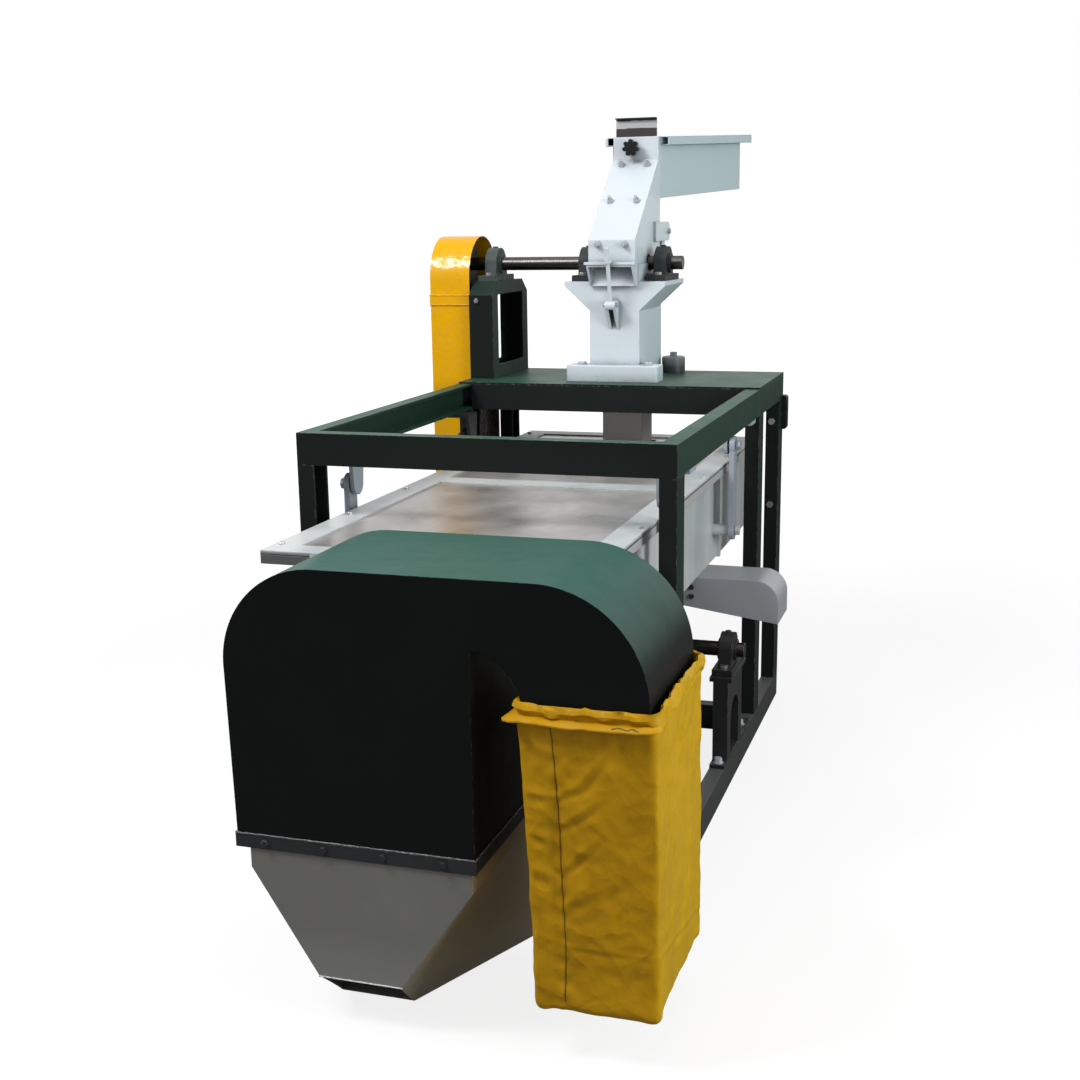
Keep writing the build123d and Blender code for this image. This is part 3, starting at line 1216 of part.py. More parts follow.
hanger_spots = [(y, hanger_low) for y in hanger_y]
pin_end = link_x + LINK_T + PIN_NUT_GAP + PIN_NUT
with BuildPart() as trough:
    outline(level(trough_z), trough_plan(0), TROUGH_H)
    outline(level(trough_z + TROUGH_WALL), trough_plan(TROUGH_WALL), TROUGH_H, Mode.SUBTRACT)
    slot_y = (chute_y + CHUTE_WALL, chute_y + CHUTE_B - CHUTE_WALL)
    slot_x = (chute_in + CHUTE_WALL, trough_w / 2 - TROUGH_WALL)
    slab(slot_x, slot_y, (trough_z, trough_z + TROUGH_WALL), Mode.SUBTRACT)
    for sign in (-1, 1):
        wall = trough_w / 2
        rib_x = span(sign, wall, wall + RIB_T)
        slab(rib_x, (rib_y - RIB_B / 2, rib_y + RIB_B / 2), (trough_z, rim_z))
        boss_x = span(sign, wall, link_x - PIN_NUT_GAP)
        discs(side(boss_x[0]), hanger_spots, 2 * PIN_R, boss_x[1] - boss_x[0])
        pin_x = span(sign, wall, pin_end)
        discs(side(pin_x[0]), hanger_spots, PIN_R, pin_x[1] - pin_x[0])
        nut_x = span(sign, pin_end - PIN_NUT, pin_end)
        hexes(side(nut_x[0]), hanger_spots, PIN_NUT_FLATS, PIN_NUT)
        for rod_side in (-1, 1):
            lug_near = ROD_EYE_W / 2 + ROD_LUG_GAP
            lug = span(rod_side, lug_near, lug_near + ROD_LUG_T)
            lug_x = sign * ROD_X + lug[0]
            with BuildSketch(side(lug_x)):
                with BuildLine():
                    Polyline(
                        (rod_eye_y - ROD_LUG_B / 2, trough_z),
                        (rod_eye_y + ROD_LUG_B / 2, trough_z),
                        (rod_eye_y + ROD_EYE_R, rod_eye_z),
                        (rod_eye_y - ROD_EYE_R, rod_eye_z),
                        close=True,
                    )
                make_face()
                with Locations((rod_eye_y, rod_eye_z)):
                    Circle(ROD_EYE_R)
            extrude(amount=ROD_LUG_T)
        rod_pin = ROD_EYE_W / 2 + ROD_LUG_GAP + ROD_LUG_T + ROD_PIN_R / 2
        discs(side(sign * ROD_X - rod_pin), [(rod_eye_y, rod_eye_z)], ROD_PIN_R, 2 * rod_pin)
trough.part.label = "trough"
export_step(trough.part, "parts/trough.step")

# Rim bar, gasket, cover sheets, clamping strips and screws
with BuildPart() as box_rim:
    rim_plate(rim_z, RIM_H)
    outline(level(rim_z), trough_plan(TROUGH_WALL), RIM_H, Mode.SUBTRACT)
box_rim.part.label = "box_rim"
export_step(box_rim.part, "parts/box_rim.step")

with BuildPart() as gasket:
    rim_plate(rim_z + RIM_H, GASKET_T)
    outline(level(rim_z + RIM_H), trough_plan(TROUGH_WALL), GASKET_T, Mode.SUBTRACT)
gasket.part.label = "gasket"
export_step(gasket.part, "parts/gasket.step")

inlet_x = (-DUCT_W / 2 - INLET_PLAY, DUCT_W / 2 + INLET_PLAY)
inlet_y = (outer_y[0] - INLET_PLAY, outer_y[1] + INLET_PLAY)
with BuildPart() as cover_front:
    rim_plate(cover_z, SHEET_T)
    slab((-rim_w, rim_w), (seam_y, FRAME_D), (cover_z, strip_z), Mode.SUBTRACT)
cover_front.part.label = "cover_front"
export_step(cover_front.part, "parts/cover_front.step")

with BuildPart() as cover_rear:
    rim_plate(cover_z, SHEET_T)
    slab((-rim_w, rim_w), (-FRAME_D, seam_y), (cover_z, strip_z), Mode.SUBTRACT)
    slab(inlet_x, inlet_y, (cover_z, strip_z), Mode.SUBTRACT)
cover_rear.part.label = "cover_rear"
export_step(cover_rear.part, "parts/cover_rear.step")

with BuildPart() as cover_strips:
    window_x = (-rim_w / 2 + STRIP_W, rim_w / 2 - STRIP_W)
    strip_top = strip_z + STRIP_T
    slab((-rim_w / 2, rim_w / 2), (rim_front, rim_rear), (strip_z, strip_top))
    slab(window_x, (rim_front + STRIP_W, seam_y - STRIP_W / 2), (strip_z, strip_top), Mode.SUBTRACT)
    slab(window_x, (seam_y + STRIP_W / 2, rim_rear - STRIP_W), (strip_z, strip_top), Mode.SUBTRACT)
cover_strips.part.label = "cover_strips"
export_step(cover_strips.part, "parts/cover_strips.step")

with BuildPart() as cover_screws:
    row_pitch = (rim_rear - rim_front - 2 * STRIP_W) / (SCREW_ROWS - 1)
    rows = [rim_front + STRIP_W + i * row_pitch for i in range(SCREW_ROWS)]
    heads = [(sign * (rim_w / 2 - SCREW_INSET), y) for y in rows for sign in (-1, 1)]
    discs(level(strip_top), heads, SCREW_HEAD_R, SCREW_HEAD_H)
    chamfer(cover_screws.edges().group_by(Axis.Z)[-1], SCREW_HEAD_H / 3)
cover_screws.part.label = "cover_screws"
export_step(cover_screws.part, "parts/cover_screws.step")


# Two sieve decks inside the trough, each a sheet on a frame of bars
with BuildPart() as sieve_decks:
    deck_half = trough_w / 2 - TROUGH_WALL
    deck_rear = trough_plan(TROUGH_WALL)[0][1]
    for height in DECK_HEIGHTS:
        z = trough_z + height
        slab((-deck_half, deck_half), (taper_y, deck_rear), (z, z + DECK_BAR))
        bays = [taper_y, (taper_y + deck_rear) / 2, deck_rear]
        for y0, y1 in zip(bays[:-1], bays[1:]):
            bay_x = (-deck_half + DECK_BAR, deck_half - DECK_BAR)
            slab(bay_x, (y0 + DECK_BAR / 2, y1 - DECK_BAR / 2), (z + DECK_T, z + DECK_BAR), Mode.SUBTRACT)
sieve_decks.part.label = "sieve_decks"
export_step(sieve_decks.part, "parts/sieve_decks.step")

# Hanger brackets under the side rails, with their pins and nuts
upper_spots = [(y, hanger_top) for y in hanger_y]
with BuildPart() as hanger_brackets:
    for sign in (-1, 1):
        plate = (link_x - BRACKET_GAP - BRACKET_T, link_x - BRACKET_GAP)
        pin_x = span(sign, plate[0], pin_end)
        nut_x = span(sign, pin_end - PIN_NUT, pin_end)
        for y in hanger_y:
            across = (y - BRACKET_B / 2, y + BRACKET_B / 2)
            slab(span(sign, plate[0], half_w), across, (rail_z - BRACKET_T, rail_z))
            with BuildSketch(side(span(sign, *plate)[0])):
                with Locations((y, hanger_top)):
                    Circle(LINK_EYE_R)
                with BuildLine():
                    Polyline(
                        (across[0], rail_z),
                        (across[1], rail_z),
                        (y + LINK_EYE_R, hanger_top),
                        (y - LINK_EYE_R, hanger_top),
                        close=True,
                    )
                make_face()
            extrude(amount=BRACKET_T)
        discs(side(pin_x[0]), upper_spots, PIN_R, pin_x[1] - pin_x[0])
        hexes(side(nut_x[0]), upper_spots, PIN_NUT_FLATS, PIN_NUT)
hanger_brackets.part.label = "hanger_brackets"
export_step(hanger_brackets.part, "parts/hanger_brackets.step")


# Four hanger links with bushed eyes, named by side and end
def link_solid(sign, y):
    """One link: a flat bar between two round eyes, its bushes a little proud outside."""
    low = span(sign, link_x, link_x + LINK_T)[0]
    with BuildSketch(side(low)) as face:
        with Locations((y, hanger_top), (y, hanger_low)):
            Circle(LINK_EYE_R)
        with Locations((y, (hanger_top + hanger_low) / 2)):
            Rectangle(LINK_B, HANGER_L)
    extrude(face.sketch, amount=LINK_T)
    discs(side(low), [(y, hanger_top)], PIN_R + RUNNING, LINK_T, Mode.SUBTRACT)
    discs(side(low), [(y, hanger_low)], PIN_R + SHIFT_GAP, LINK_T, Mode.SUBTRACT)


with BuildPart() as link_left_front:
    link_solid(-1, hanger_y[0])
link_left_front.part.label = "link_left_front"
export_step(link_left_front.part, "parts/link_left_front.step")

with BuildPart() as link_left_rear:
    link_solid(-1, hanger_y[1])
link_left_rear.part.label = "link_left_rear"
export_step(link_left_rear.part, "parts/link_left_rear.step")

with BuildPart() as link_right_front:
    link_solid(1, hanger_y[0])
link_right_front.part.label = "link_right_front"
export_step(link_right_front.part, "parts/link_right_front.step")

with BuildPart() as link_right_rear:
    link_solid(1, hanger_y[1])
link_right_rear.part.label = "link_right_rear"
export_step(link_right_rear.part, "parts/link_right_rear.step")

# Stands of the eccentric shaft on the low side rails, arched through
with BuildPart() as ecc_stands:
    for sign in (-1, 1):
        column_x = span(sign, inner_x, half_w)
        foot_z = CHANNEL_H + ECC_FOOT_T
        slab(column_x, (ecc_y - ECC_FOOT_FRONT, ecc_y + ECC_FOOT_REAR), (CHANNEL_H, foot_z))
        arch_h = ecc_stand_z - foot_z - ECC_BRIDGE
        with BuildSketch(side(column_x[0])) as arch:
            with Locations((ecc_y, foot_z)):
                Rectangle(ECC_ARCH_B, arch_h, align=(Align.CENTER, Align.MIN))
            fillet(arch.vertices().group_by(Axis.Y)[-1], min(ECC_ARCH_R, arch_h / 2))
        slab(column_x, (ecc_y - ECC_STAND_B / 2, ecc_y + ECC_STAND_B / 2), (foot_z, ecc_stand_z))
        extrude(arch.sketch, amount=CHANNEL_B, mode=Mode.SUBTRACT)
        top_x = (sign * stand_x - ECC_TOP_W / 2, sign * stand_x + ECC_TOP_W / 2)
        top_y = (ecc_y - ECC_STAND_B / 2, ecc_y + ECC_STAND_B / 2)
        slab(top_x, top_y, (ecc_stand_z, ecc_stand_z + ECC_TOP_T))
ecc_stands.part.label = "ecc_stands"
export_step(ecc_stands.part, "parts/ecc_stands.step")

# Eccentric shaft and its two sheaves
with BuildPart() as ecc_shaft:
    left = screen_belt_x - PULLEY_EDGE
    discs(side(left), [(ecc_y, ecc_z)], SHAFT_R, half_w + ECC_REACH - left)
    chamfer(ecc_shaft.edges().filter_by(GeomType.CIRCLE), SHAFT_CHAMFER)
ecc_shaft.part.label = "ecc_shaft"
export_step(ecc_shaft.part, "parts/ecc_shaft.step")

with BuildPart() as eccentrics:
    for sign in (-1, 1):
        left = sign * ROD_X - SHEAVE_W / 2
        discs(side(left), [(ecc_y, ecc_z - ECC_THROW)], SHEAVE_R, SHEAVE_W)
    discs(side(-half_w), [(ecc_y, ecc_z)], SHAFT_R, FRAME_W, Mode.SUBTRACT)
eccentrics.part.label = "eccentrics"
export_step(eccentrics.part, "parts/eccentrics.step")

# Connecting rods: closed big-end housings round the sheaves, small ends on the lug pins
with BuildPart() as conrods:
    big, small = (ecc_y, ecc_z), (rod_eye_y, rod_eye_z)
    rod_l = hypot(big[0] - small[0], big[1] - small[1])
    rod_turn = degrees(atan2(small[1] - big[1], small[0] - big[0]))
    for sign in (-1, 1):
        mid = sign * ROD_X
        with BuildSketch(side(mid - ROD_T / 2)):
            with Locations(Location((*big, 0), rod_turn)):
                Rectangle(rod_l, ROD_B, align=(Align.MIN, Align.CENTER))
        extrude(amount=ROD_T)
        discs(side(mid - ROD_EYE_W / 2), [small], ROD_EYE_R, ROD_EYE_W)
        discs(side(mid - HOUSING_W / 2), [big], HOUSING_R, HOUSING_W)
        room = HOUSING_W - 2 * HOUSING_COVER
        discs(side(mid - room / 2), [big], HOUSING_BORE_R, room, Mode.SUBTRACT)
        discs(side(mid - HOUSING_W / 2), [big], HOUSING_EYE_R, HOUSING_W, Mode.SUBTRACT)
        discs(side(mid - ROD_EYE_W / 2), [small], ROD_PIN_R + RUNNING, ROD_EYE_W, Mode.SUBTRACT)
conrods.part.label = "conrods"
export_step(conrods.part, "parts/conrods.step")


# Side chute: a rounded sheet trunk from the trough floor, open below at its outer end
def chute_form(inset, y, depth, mode=Mode.ADD):
    """The chute's side view, at a distance inside its outer face, extruded over a depth."""
    fall = (CHUTE_END_H - CHUTE_ROOT_H) / (chute_out - chute_in)
    with BuildSketch(front(y)) as face:
        with BuildLine():
            Polyline(
                (chute_out - inset, trough_z - CHUTE_R),
                (chute_out - inset, trough_z - CHUTE_END_H + inset * (1 + fall)),
                (chute_in + inset, trough_z - CHUTE_ROOT_H + inset * (1 - fall)),
                (chute_in + inset, trough_z - inset),
                (chute_out - CHUTE_R, trough_z - inset),
            )
            turn = (chute_out - CHUTE_R, trough_z - CHUTE_R)
            CenterArc(turn, CHUTE_R - inset, 0, 90)
        make_face()
    extrude(face.sketch, amount=depth, mode=mode)


with BuildPart() as side_chute:
    rear = chute_y + CHUTE_B
    chute_form(0, rear, CHUTE_B)
    chute_form(CHUTE_WALL, rear - CHUTE_WALL, CHUTE_B - 2 * CHUTE_WALL, Mode.SUBTRACT)
    slab(slot_x, slot_y, (trough_z - CHUTE_WALL, trough_z), Mode.SUBTRACT)
    mouth_x = (chute_out - CHUTE_WALL - CHUTE_MOUTH, chute_out - CHUTE_WALL)
    slab(mouth_x, slot_y, (trough_z - 2 * CHUTE_END_H, trough_z - CHUTE_ROOT_H), Mode.SUBTRACT)
side_chute.part.label = "side_chute"
export_step(side_chute.part, "parts/side_chute.step")


# Hood: one trunk with a rounded shoulder, an elbow that turns down beside it and a back plate on the neck
def hood_form(inset, y, depth, mode=Mode.ADD):
    """The hood's front view, at a distance inside its outer face, extruded over a depth."""
    half = NECK_W / 2
    inner_x0 = elbow_x - ELBOW_OUTLET
    inner_mid = inner_x0 - sqrt(ELBOW_INNER_R**2 - ELBOW_INNER_DROP**2)
    inner_z = elbow_z - ELBOW_INNER_DROP
    inner_r = ELBOW_INNER_R + inset
    low_edge = (inner_mid + sqrt(inner_r**2 - ELBOW_INNER_DROP**2), elbow_z)
    wall = half - inset
    meet = (wall, inner_z + sqrt(inner_r**2 - (wall - inner_mid) ** 2))
    mean = (atan2(ELBOW_INNER_DROP, low_edge[0] - inner_mid) + atan2(meet[1] - inner_z, wall - inner_mid)) / 2
    on_arc = (inner_mid + inner_r * cos(mean), inner_z + inner_r * sin(mean))
    top = hood_top - inset
    left = -half + inset
    shoulder_x = -half - HOOD_LEAN + HOOD_R
    right = elbow_x - inset
    spigot_z = elbow_z - ELBOW_SPIGOT
    with BuildSketch(front(y)) as face:
        with BuildLine():
            Line((wall, hood_base), (left, hood_base))
            Line((left, hood_base), (left - HOOD_LEAN, hood_top - HOOD_R))
            CenterArc((shoulder_x, hood_top - HOOD_R), HOOD_R - inset, 90, 90)
            Line((shoulder_x, top), (elbow_x - ELBOW_R, top))
            CenterArc((elbow_x - ELBOW_R, elbow_z), ELBOW_R - inset, 0, 90)
            Polyline((right, elbow_z), (right, spigot_z), (low_edge[0], spigot_z), low_edge)
            ThreePointArc(low_edge, on_arc, meet)
            Line(meet, (wall, hood_base))
        make_face()
    extrude(face.sketch, amount=depth, mode=mode)


back_y = (neck_y - HOOD_WALL, neck_y)
with BuildPart() as neck_way:
    neck_x = (-NECK_W / 2 + TROUGH_WALL, NECK_W / 2 - TROUGH_WALL)
    hood_form(HOOD_WALL, neck_y, HOOD_WALL)
    slab(neck_x, back_y, (trough_z + TROUGH_WALL, rim_z), Mode.INTERSECT)

with BuildPart() as hood:
    hood_form(0, neck_y, HOOD_D)
    slab((-NECK_W / 2, NECK_W / 2), back_y, (trough_z, rim_z + RIM_H))
    hood_form(HOOD_WALL, neck_y - HOOD_WALL, HOOD_D - 2 * HOOD_WALL, Mode.SUBTRACT)
    add(neck_way.part, mode=Mode.SUBTRACT)
hood.part.label = "hood"
export_step(hood.part, "parts/hood.step")

# Flange under the hood, and the bolt heads of the flange and of the chute's root
spout_w = NECK_W - SPOUT_INSET
spout_x = (SPOUT_SHIFT - spout_w / 2, SPOUT_SHIFT + spout_w / 2)
inside_x = (spout_x[0] + SPOUT_WALL, spout_x[1] - SPOUT_WALL)
inside_y = (hood_front + SPOUT_WALL, neck_y - SPOUT_WALL)
with BuildPart() as hood_flange:
    reach_x = (-NECK_W / 2 - FLANGE_REACH, NECK_W / 2 + FLANGE_REACH)
    reach_y = (hood_front - FLANGE_REACH, neck_y + FLANGE_REACH)
    slab(reach_x, reach_y, (spout_z, hood_base))
    slab(inside_x, inside_y, (spout_z, hood_base), Mode.SUBTRACT)
hood_flange.part.label = "hood_flange"
export_step(hood_flange.part, "parts/hood_flange.step")

with BuildPart() as trunk_bolts:
    spread = [(i - (FLANGE_BOLTS - 1) / 2) * NECK_W / FLANGE_BOLTS for i in range(FLANGE_BOLTS)]
    hexes(front(reach_y[0]), [(x, hood_base - FLANGE_T / 2) for x in spread], SMALL_FLATS, SMALL_HEAD)
    root = [(trough_w / 2 - SMALL_FLATS, trough_z - z) for z in (2 * SMALL_FLATS, 4 * SMALL_FLATS)]
    hexes(front(chute_y), root, SMALL_FLATS, SMALL_HEAD)
trunk_bolts.part.label = "trunk_bolts"
export_step(trunk_bolts.part, "parts/trunk_bolts.step")


# Spout: a collar under the flange, then a trunk that narrows to a slanted mouth in front
def spout_section(y, inset, low, floor_x):
    """A section of the spout at y, from its full width under the collar to a floor between two limits."""
    left, right = spout_x[0] + inset, spout_x[1] - inset
    with BuildSketch(front(y)) as face:
        with BuildLine():
            Polyline((left, collar_z), (right, collar_z), (floor_x[1], low), (floor_x[0], low), close=True)
        make_face()
    return face.sketch


collar_z = spout_z - SPOUT_COLLAR
nose_x = (-SPOUT_NOSE_W / 2, SPOUT_NOSE_W / 2)
with BuildPart() as spout:
    slab(spout_x, (hood_front, neck_y), (collar_z, spout_z))
    back = spout_section(neck_y, 0, SPOUT_REAR_Z, spout_x)
    nose = spout_section(hood_front, 0, SPOUT_NOSE_Z, nose_x)
    loft([nose, back], ruled=True)
    slab(inside_x, inside_y, (collar_z, spout_z), Mode.SUBTRACT)
    back = spout_section(inside_y[1], SPOUT_WALL, SPOUT_REAR_Z + SPOUT_WALL, inside_x)
    nose = spout_section(inside_y[0], SPOUT_WALL, SPOUT_NOSE_Z + SPOUT_WALL, nose_x)
    loft([nose, back], ruled=True, mode=Mode.SUBTRACT)
    mouth_low = SPOUT_NOSE_Z + (SPOUT_REAR_Z - SPOUT_NOSE_Z) * SPOUT_MOUTH_D / HOOD_D
    mouth = [
        (hood_front - SPOUT_COLLAR, SPOUT_NOSE_Z + SPOUT_MOUTH_H),
        (hood_front, SPOUT_NOSE_Z + SPOUT_MOUTH_H),
        (hood_front + SPOUT_MOUTH_D, mouth_low),
        (hood_front + SPOUT_MOUTH_D, 0),
        (hood_front - SPOUT_COLLAR, 0),
    ]
    outline(side(spout_x[0]), mouth, spout_w, Mode.SUBTRACT)
spout.part.label = "spout"
export_step(spout.part, "parts/spout.step")


# Collecting bag hung round the elbow's spigot, open above
def bag_section(z, inset, swell, lean):
    """A section of the bag at z, set out from the spigot by its gap, its swell and its lean."""
    out = BAG_GAP + swell / 4 - inset
    low_x, high_x = elbow_x - ELBOW_OUTLET - BAG_GAP + lean + inset, elbow_x + BAG_GAP + swell - inset
    with BuildSketch(level(z)) as face:
        with Locations(((low_x + high_x) / 2, (hood_front + neck_y) / 2)):
            RectangleRounded(high_x - low_x, HOOD_D + 2 * out, 2 * BAG_WALL + BAG_GAP - inset)
    return face.sketch


with BuildPart() as bag:
    mid_z = (elbow_z + BAG_BASE) / 2
    levels = [(BAG_BASE, BAG_SWELL, BAG_LEAN), (mid_z, BAG_SWELL, BAG_LEAN / 2), (elbow_z, BAG_GAP, 0)]
    loft([bag_section(z, 0, swell, lean) for z, swell, lean in levels], ruled=True)
    rim = bag_section(elbow_z - BAG_RIM, -BAG_RIM_T, BAG_GAP, 0)
    extrude(rim, amount=BAG_RIM)
    levels[0] = (BAG_BASE + BAG_WALL, BAG_SWELL, BAG_LEAN)
    loft([bag_section(z, BAG_WALL, swell, lean) for z, swell, lean in levels], ruled=True, mode=Mode.SUBTRACT)
bag.part.label = "bag"
export_step(bag.part, "parts/bag.step")
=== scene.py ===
import math

import bmesh
import bpy
from mathutils import Matrix, Vector, noise


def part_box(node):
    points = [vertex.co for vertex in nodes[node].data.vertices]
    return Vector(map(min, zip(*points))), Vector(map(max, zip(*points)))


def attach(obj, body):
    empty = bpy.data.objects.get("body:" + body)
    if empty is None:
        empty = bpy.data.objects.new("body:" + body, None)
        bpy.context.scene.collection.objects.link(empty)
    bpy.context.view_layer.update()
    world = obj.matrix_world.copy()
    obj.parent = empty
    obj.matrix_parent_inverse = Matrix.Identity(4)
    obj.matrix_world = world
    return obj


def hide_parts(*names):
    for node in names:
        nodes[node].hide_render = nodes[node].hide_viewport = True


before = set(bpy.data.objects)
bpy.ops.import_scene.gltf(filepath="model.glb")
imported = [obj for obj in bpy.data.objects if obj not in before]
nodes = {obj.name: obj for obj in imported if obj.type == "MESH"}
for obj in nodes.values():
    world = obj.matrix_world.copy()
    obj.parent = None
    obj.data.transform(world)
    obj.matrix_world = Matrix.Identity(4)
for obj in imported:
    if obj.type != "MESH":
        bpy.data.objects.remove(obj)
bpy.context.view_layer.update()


# The camera stands in front of the machine and to its right, a little higher than the feed tray.
# It looks left of the machine's own axis and down on the hood, with the slight roll of a hand-held shot.
CAMERA_AT = (1.11997, -3.80723, 1.49776)
CAMERA_YAW = math.radians(18.125)
CAMERA_PITCH = math.radians(12.799)
CAMERA_ROLL = math.radians(-0.893)
CAMERA_LENS = 49.11
CAMERA_SHIFT = (0.00723, 0.01518)

ahead = Vector((-math.sin(CAMERA_YAW) * math.cos(CAMERA_PITCH),
                math.cos(CAMERA_YAW) * math.cos(CAMERA_PITCH), -math.sin(CAMERA_PITCH)))
level = Vector((math.cos(CAMERA_YAW), math.sin(CAMERA_YAW), 0.0))
upward = level.cross(ahead)
across = math.cos(CAMERA_ROLL) * level + math.sin(CAMERA_ROLL) * upward
upright = math.cos(CAMERA_ROLL) * upward - math.sin(CAMERA_ROLL) * level
lens = bpy.data.cameras.new("camera")
lens.lens = CAMERA_LENS
lens.shift_x, lens.shift_y = CAMERA_SHIFT
camera = bpy.data.objects.new("camera", lens)
camera.matrix_world = Matrix.Translation(CAMERA_AT) @ Matrix((across, upright, -ahead)).transposed().to_4x4()
bpy.context.scene.collection.objects.link(camera)
bpy.context.scene.camera = camera
bpy.context.scene.view_settings.view_transform = "Standard"


# The studio: a pale floor that keeps the machine's soft shadow, in a white room that is dim in front.
# A wide lamp hangs overhead, a strong one high in front lights the mill, and one stands low at the right.
WHITE = (1.0, 1.0, 1.0, 1.0)
FLOOR_REACH = 40.0
FLOOR_GREY = 0.20
FLOOR_LIFT = (0.83, 1.0)
FLOOR_FADE = (2.0, 5.5)
ROOM_LIGHT = 0.34
FRONT_DARK = 0.85
FRONT_FROM = (-0.15, -0.75)
LOW_FROM = (0.6, 0.1)
LAMPS = (
    ("overhead lamp", (0.2, 0.2, 5.0), (0.0, -0.2, 0.8), 3.6, 24.0),
    ("front lamp", (-2.0, -2.6, 4.3), (0.0, 0.2, 1.25), 1.6, 140.0),
    ("right lamp", (3.4, -1.6, 1.6), (0.4, -1.2, 0.5), 1.8, 66.0),
)


def fill(tree, sockets, values):
    """Each socket linked to another one, or set to a value."""
    for key, value in values.items():
        if isinstance(value, bpy.types.NodeSocket):
            tree.links.new(value, sockets[key])
        else:
            sockets[key].default_value = value


def step(tree, kind, values, **settings):
    """What one node of a material gives, with its values set and its links made."""
    made = tree.nodes.new("ShaderNode" + kind)
    for key, setting in settings.items():
        setattr(made, key, setting)
    fill(tree, made.inputs, values)
    return made.outputs


def ramp(tree, value, start, end, low=0.0, high=1.0):
    """A value between start and end, spread evenly from low to high."""
    return step(tree, "MapRange", {0: value, 1: start, 2: end, 3: low, 4: high})[0]


def reckon(tree, how, *values):
    """The sum, product or the like of some values."""
    return step(tree, "Math", dict(enumerate(values)), operation=how)[0]


def split(tree, vector):
    """The three parts of a vector."""
    return step(tree, "SeparateXYZ", {0: vector})


def inside(mat):
    """A material's tree, the inputs of its surface and its places."""
    return mat.node_tree, mat.node_tree.nodes["Principled BSDF"].inputs, step(mat.node_tree, "TexCoord", {})


def new_finish(name):
    """A new material, its tree, the inputs of its surface and its places."""
    mat = bpy.data.materials.new(name)
    mat.use_nodes = True
    return (mat,) + inside(mat)


room = bpy.data.worlds.new("room")
bpy.context.scene.world = room
room.use_nodes = True
tree = room.node_tree
ray = step(tree, "LightPath", {})
way = split(tree, step(tree, "TexCoord", {})["Generated"])
in_front = ramp(tree, way["Y"], *FRONT_FROM)
low_down = ramp(tree, way["Z"], *LOW_FROM)
dark_side = reckon(tree, "MULTIPLY", in_front, low_down)
mirrored = reckon(tree, "MULTIPLY_ADD", dark_side, -FRONT_DARK, 1.0)
mirrored = reckon(tree, "MULTIPLY", mirrored, ray["Is Glossy Ray"])
seen = reckon(tree, "MAXIMUM", ray["Is Camera Ray"], ray["Is Transmission Ray"])
seen = reckon(tree, "MAXIMUM", seen, mirrored)
strength = reckon(tree, "MAXIMUM", seen, ROOM_LIGHT)
fill(tree, tree.nodes["Background"].inputs, {"Strength": strength, "Color": WHITE})

pale_floor, tree, skin, where = new_finish("pale floor")
ray = step(tree, "LightPath", {})
seen = reckon(tree, "MAXIMUM", ray["Is Camera Ray"], ray["Is Transmission Ray"])
away = step(tree, "VectorMath", {0: where["Object"]}, operation="LENGTH")["Value"]
lift = reckon(tree, "MULTIPLY", seen, ramp(tree, away, *FLOOR_FADE, *FLOOR_LIFT))
fill(tree, skin, {"Emission Strength": lift, "Emission Color": WHITE, "Roughness": 0.9,
                  "Base Color": (FLOOR_GREY, FLOOR_GREY, FLOOR_GREY, 1.0), "Specular IOR Level": 0.1})
sheet = bmesh.new()
bmesh.ops.create_grid(sheet, x_segments=1, y_segments=1, size=FLOOR_REACH)
floor_mesh = bpy.data.meshes.new("floor")
sheet.to_mesh(floor_mesh)
sheet.free()
floor_mesh.materials.append(pale_floor)
floor = bpy.data.objects.new("floor", floor_mesh)
bpy.context.scene.collection.objects.link(floor)

for lamp_name, lamp_at, aim, lamp_size, power in LAMPS:
    lamp = bpy.data.lights.new(lamp_name, "AREA")
    lamp.shape = "DISK"
    lamp.size = lamp_size
    lamp.energy = power
    holder = bpy.data.objects.new(lamp_name, lamp)
    holder.location = lamp_at
    holder.rotation_euler = (Vector(aim) - Vector(lamp_at)).to_track_quat("-Z", "Y").to_euler()
    bpy.context.scene.collection.objects.link(holder)


# The frame: rolled channel and angle, welded into a ring, a middle rail, six posts and a low frame.
# A steel table and the bearing pedestal are welded on top; all of it is sprayed with dark green enamel.
# The faces that turn towards the light carry painted light: brighter green, and pale grey on the low frame,
# which also has a little dust and wear.
FRAME_GREEN = (0.0125, 0.0165, 0.0155)
FRAME_LIT_GREEN = (0.021, 0.078, 0.049)
POST_LIT_GREEN = (0.012, 0.040, 0.028)
LOW_LIT_GREY = (0.115, 0.122, 0.118)
PRIMER_GREY = (0.30, 0.31, 0.30)
FLOUR_DUST = (0.62, 0.60, 0.54)
GRIME_SHADE_BROWN = (0.060, 0.054, 0.050)
GRIME_SHADE_REACH = 0.07
LIGHT_FROM = (0.44, 0.45, 0.78)
FROM_RIGHT = (1.0, 0.0, 0.0)
EDGE_ROUND = 0.0025
EDGE_RUBBED = (0.985, 0.80)
SPECK_RUBBED = (0.50, 0.62)
LIT_FACING = (0.22, 0.78)
UPTURNED = (0.6, 1.0)
DUSTY = (0.35, 0.75)
HOLLOW = (0.72, 0.38)
GRIMY = (0.25, 0.60)
LEAST_GRIME = 0.35
BROAD_CLOUD = (3.1, 5.0, 0.6)
SPECK_CLOUD = (70.0, 3.0)
DUST_CLOUD = (9.0, 6.0, 0.7)


def tint(colour, share=1.0):
    """A colour made darker or lighter, as a shader takes it."""
    return tuple(min(1.0, c * share) for c in colour) + (1.0,)


def blend(tree, share, first, second, **how):
    """Two colours mixed by a share."""
    return step(tree, "Mix", {0: share, 6: first, 7: second}, data_type="RGBA", **how)[2]


def cloudy(tree, place, scale, detail=2.0, roughness=0.5):
    """A random value that drifts over a surface."""
    values = {"Vector": place, "Scale": scale, "Detail": detail, "Roughness": roughness}
    return step(tree, "TexNoise", values)["Fac"]


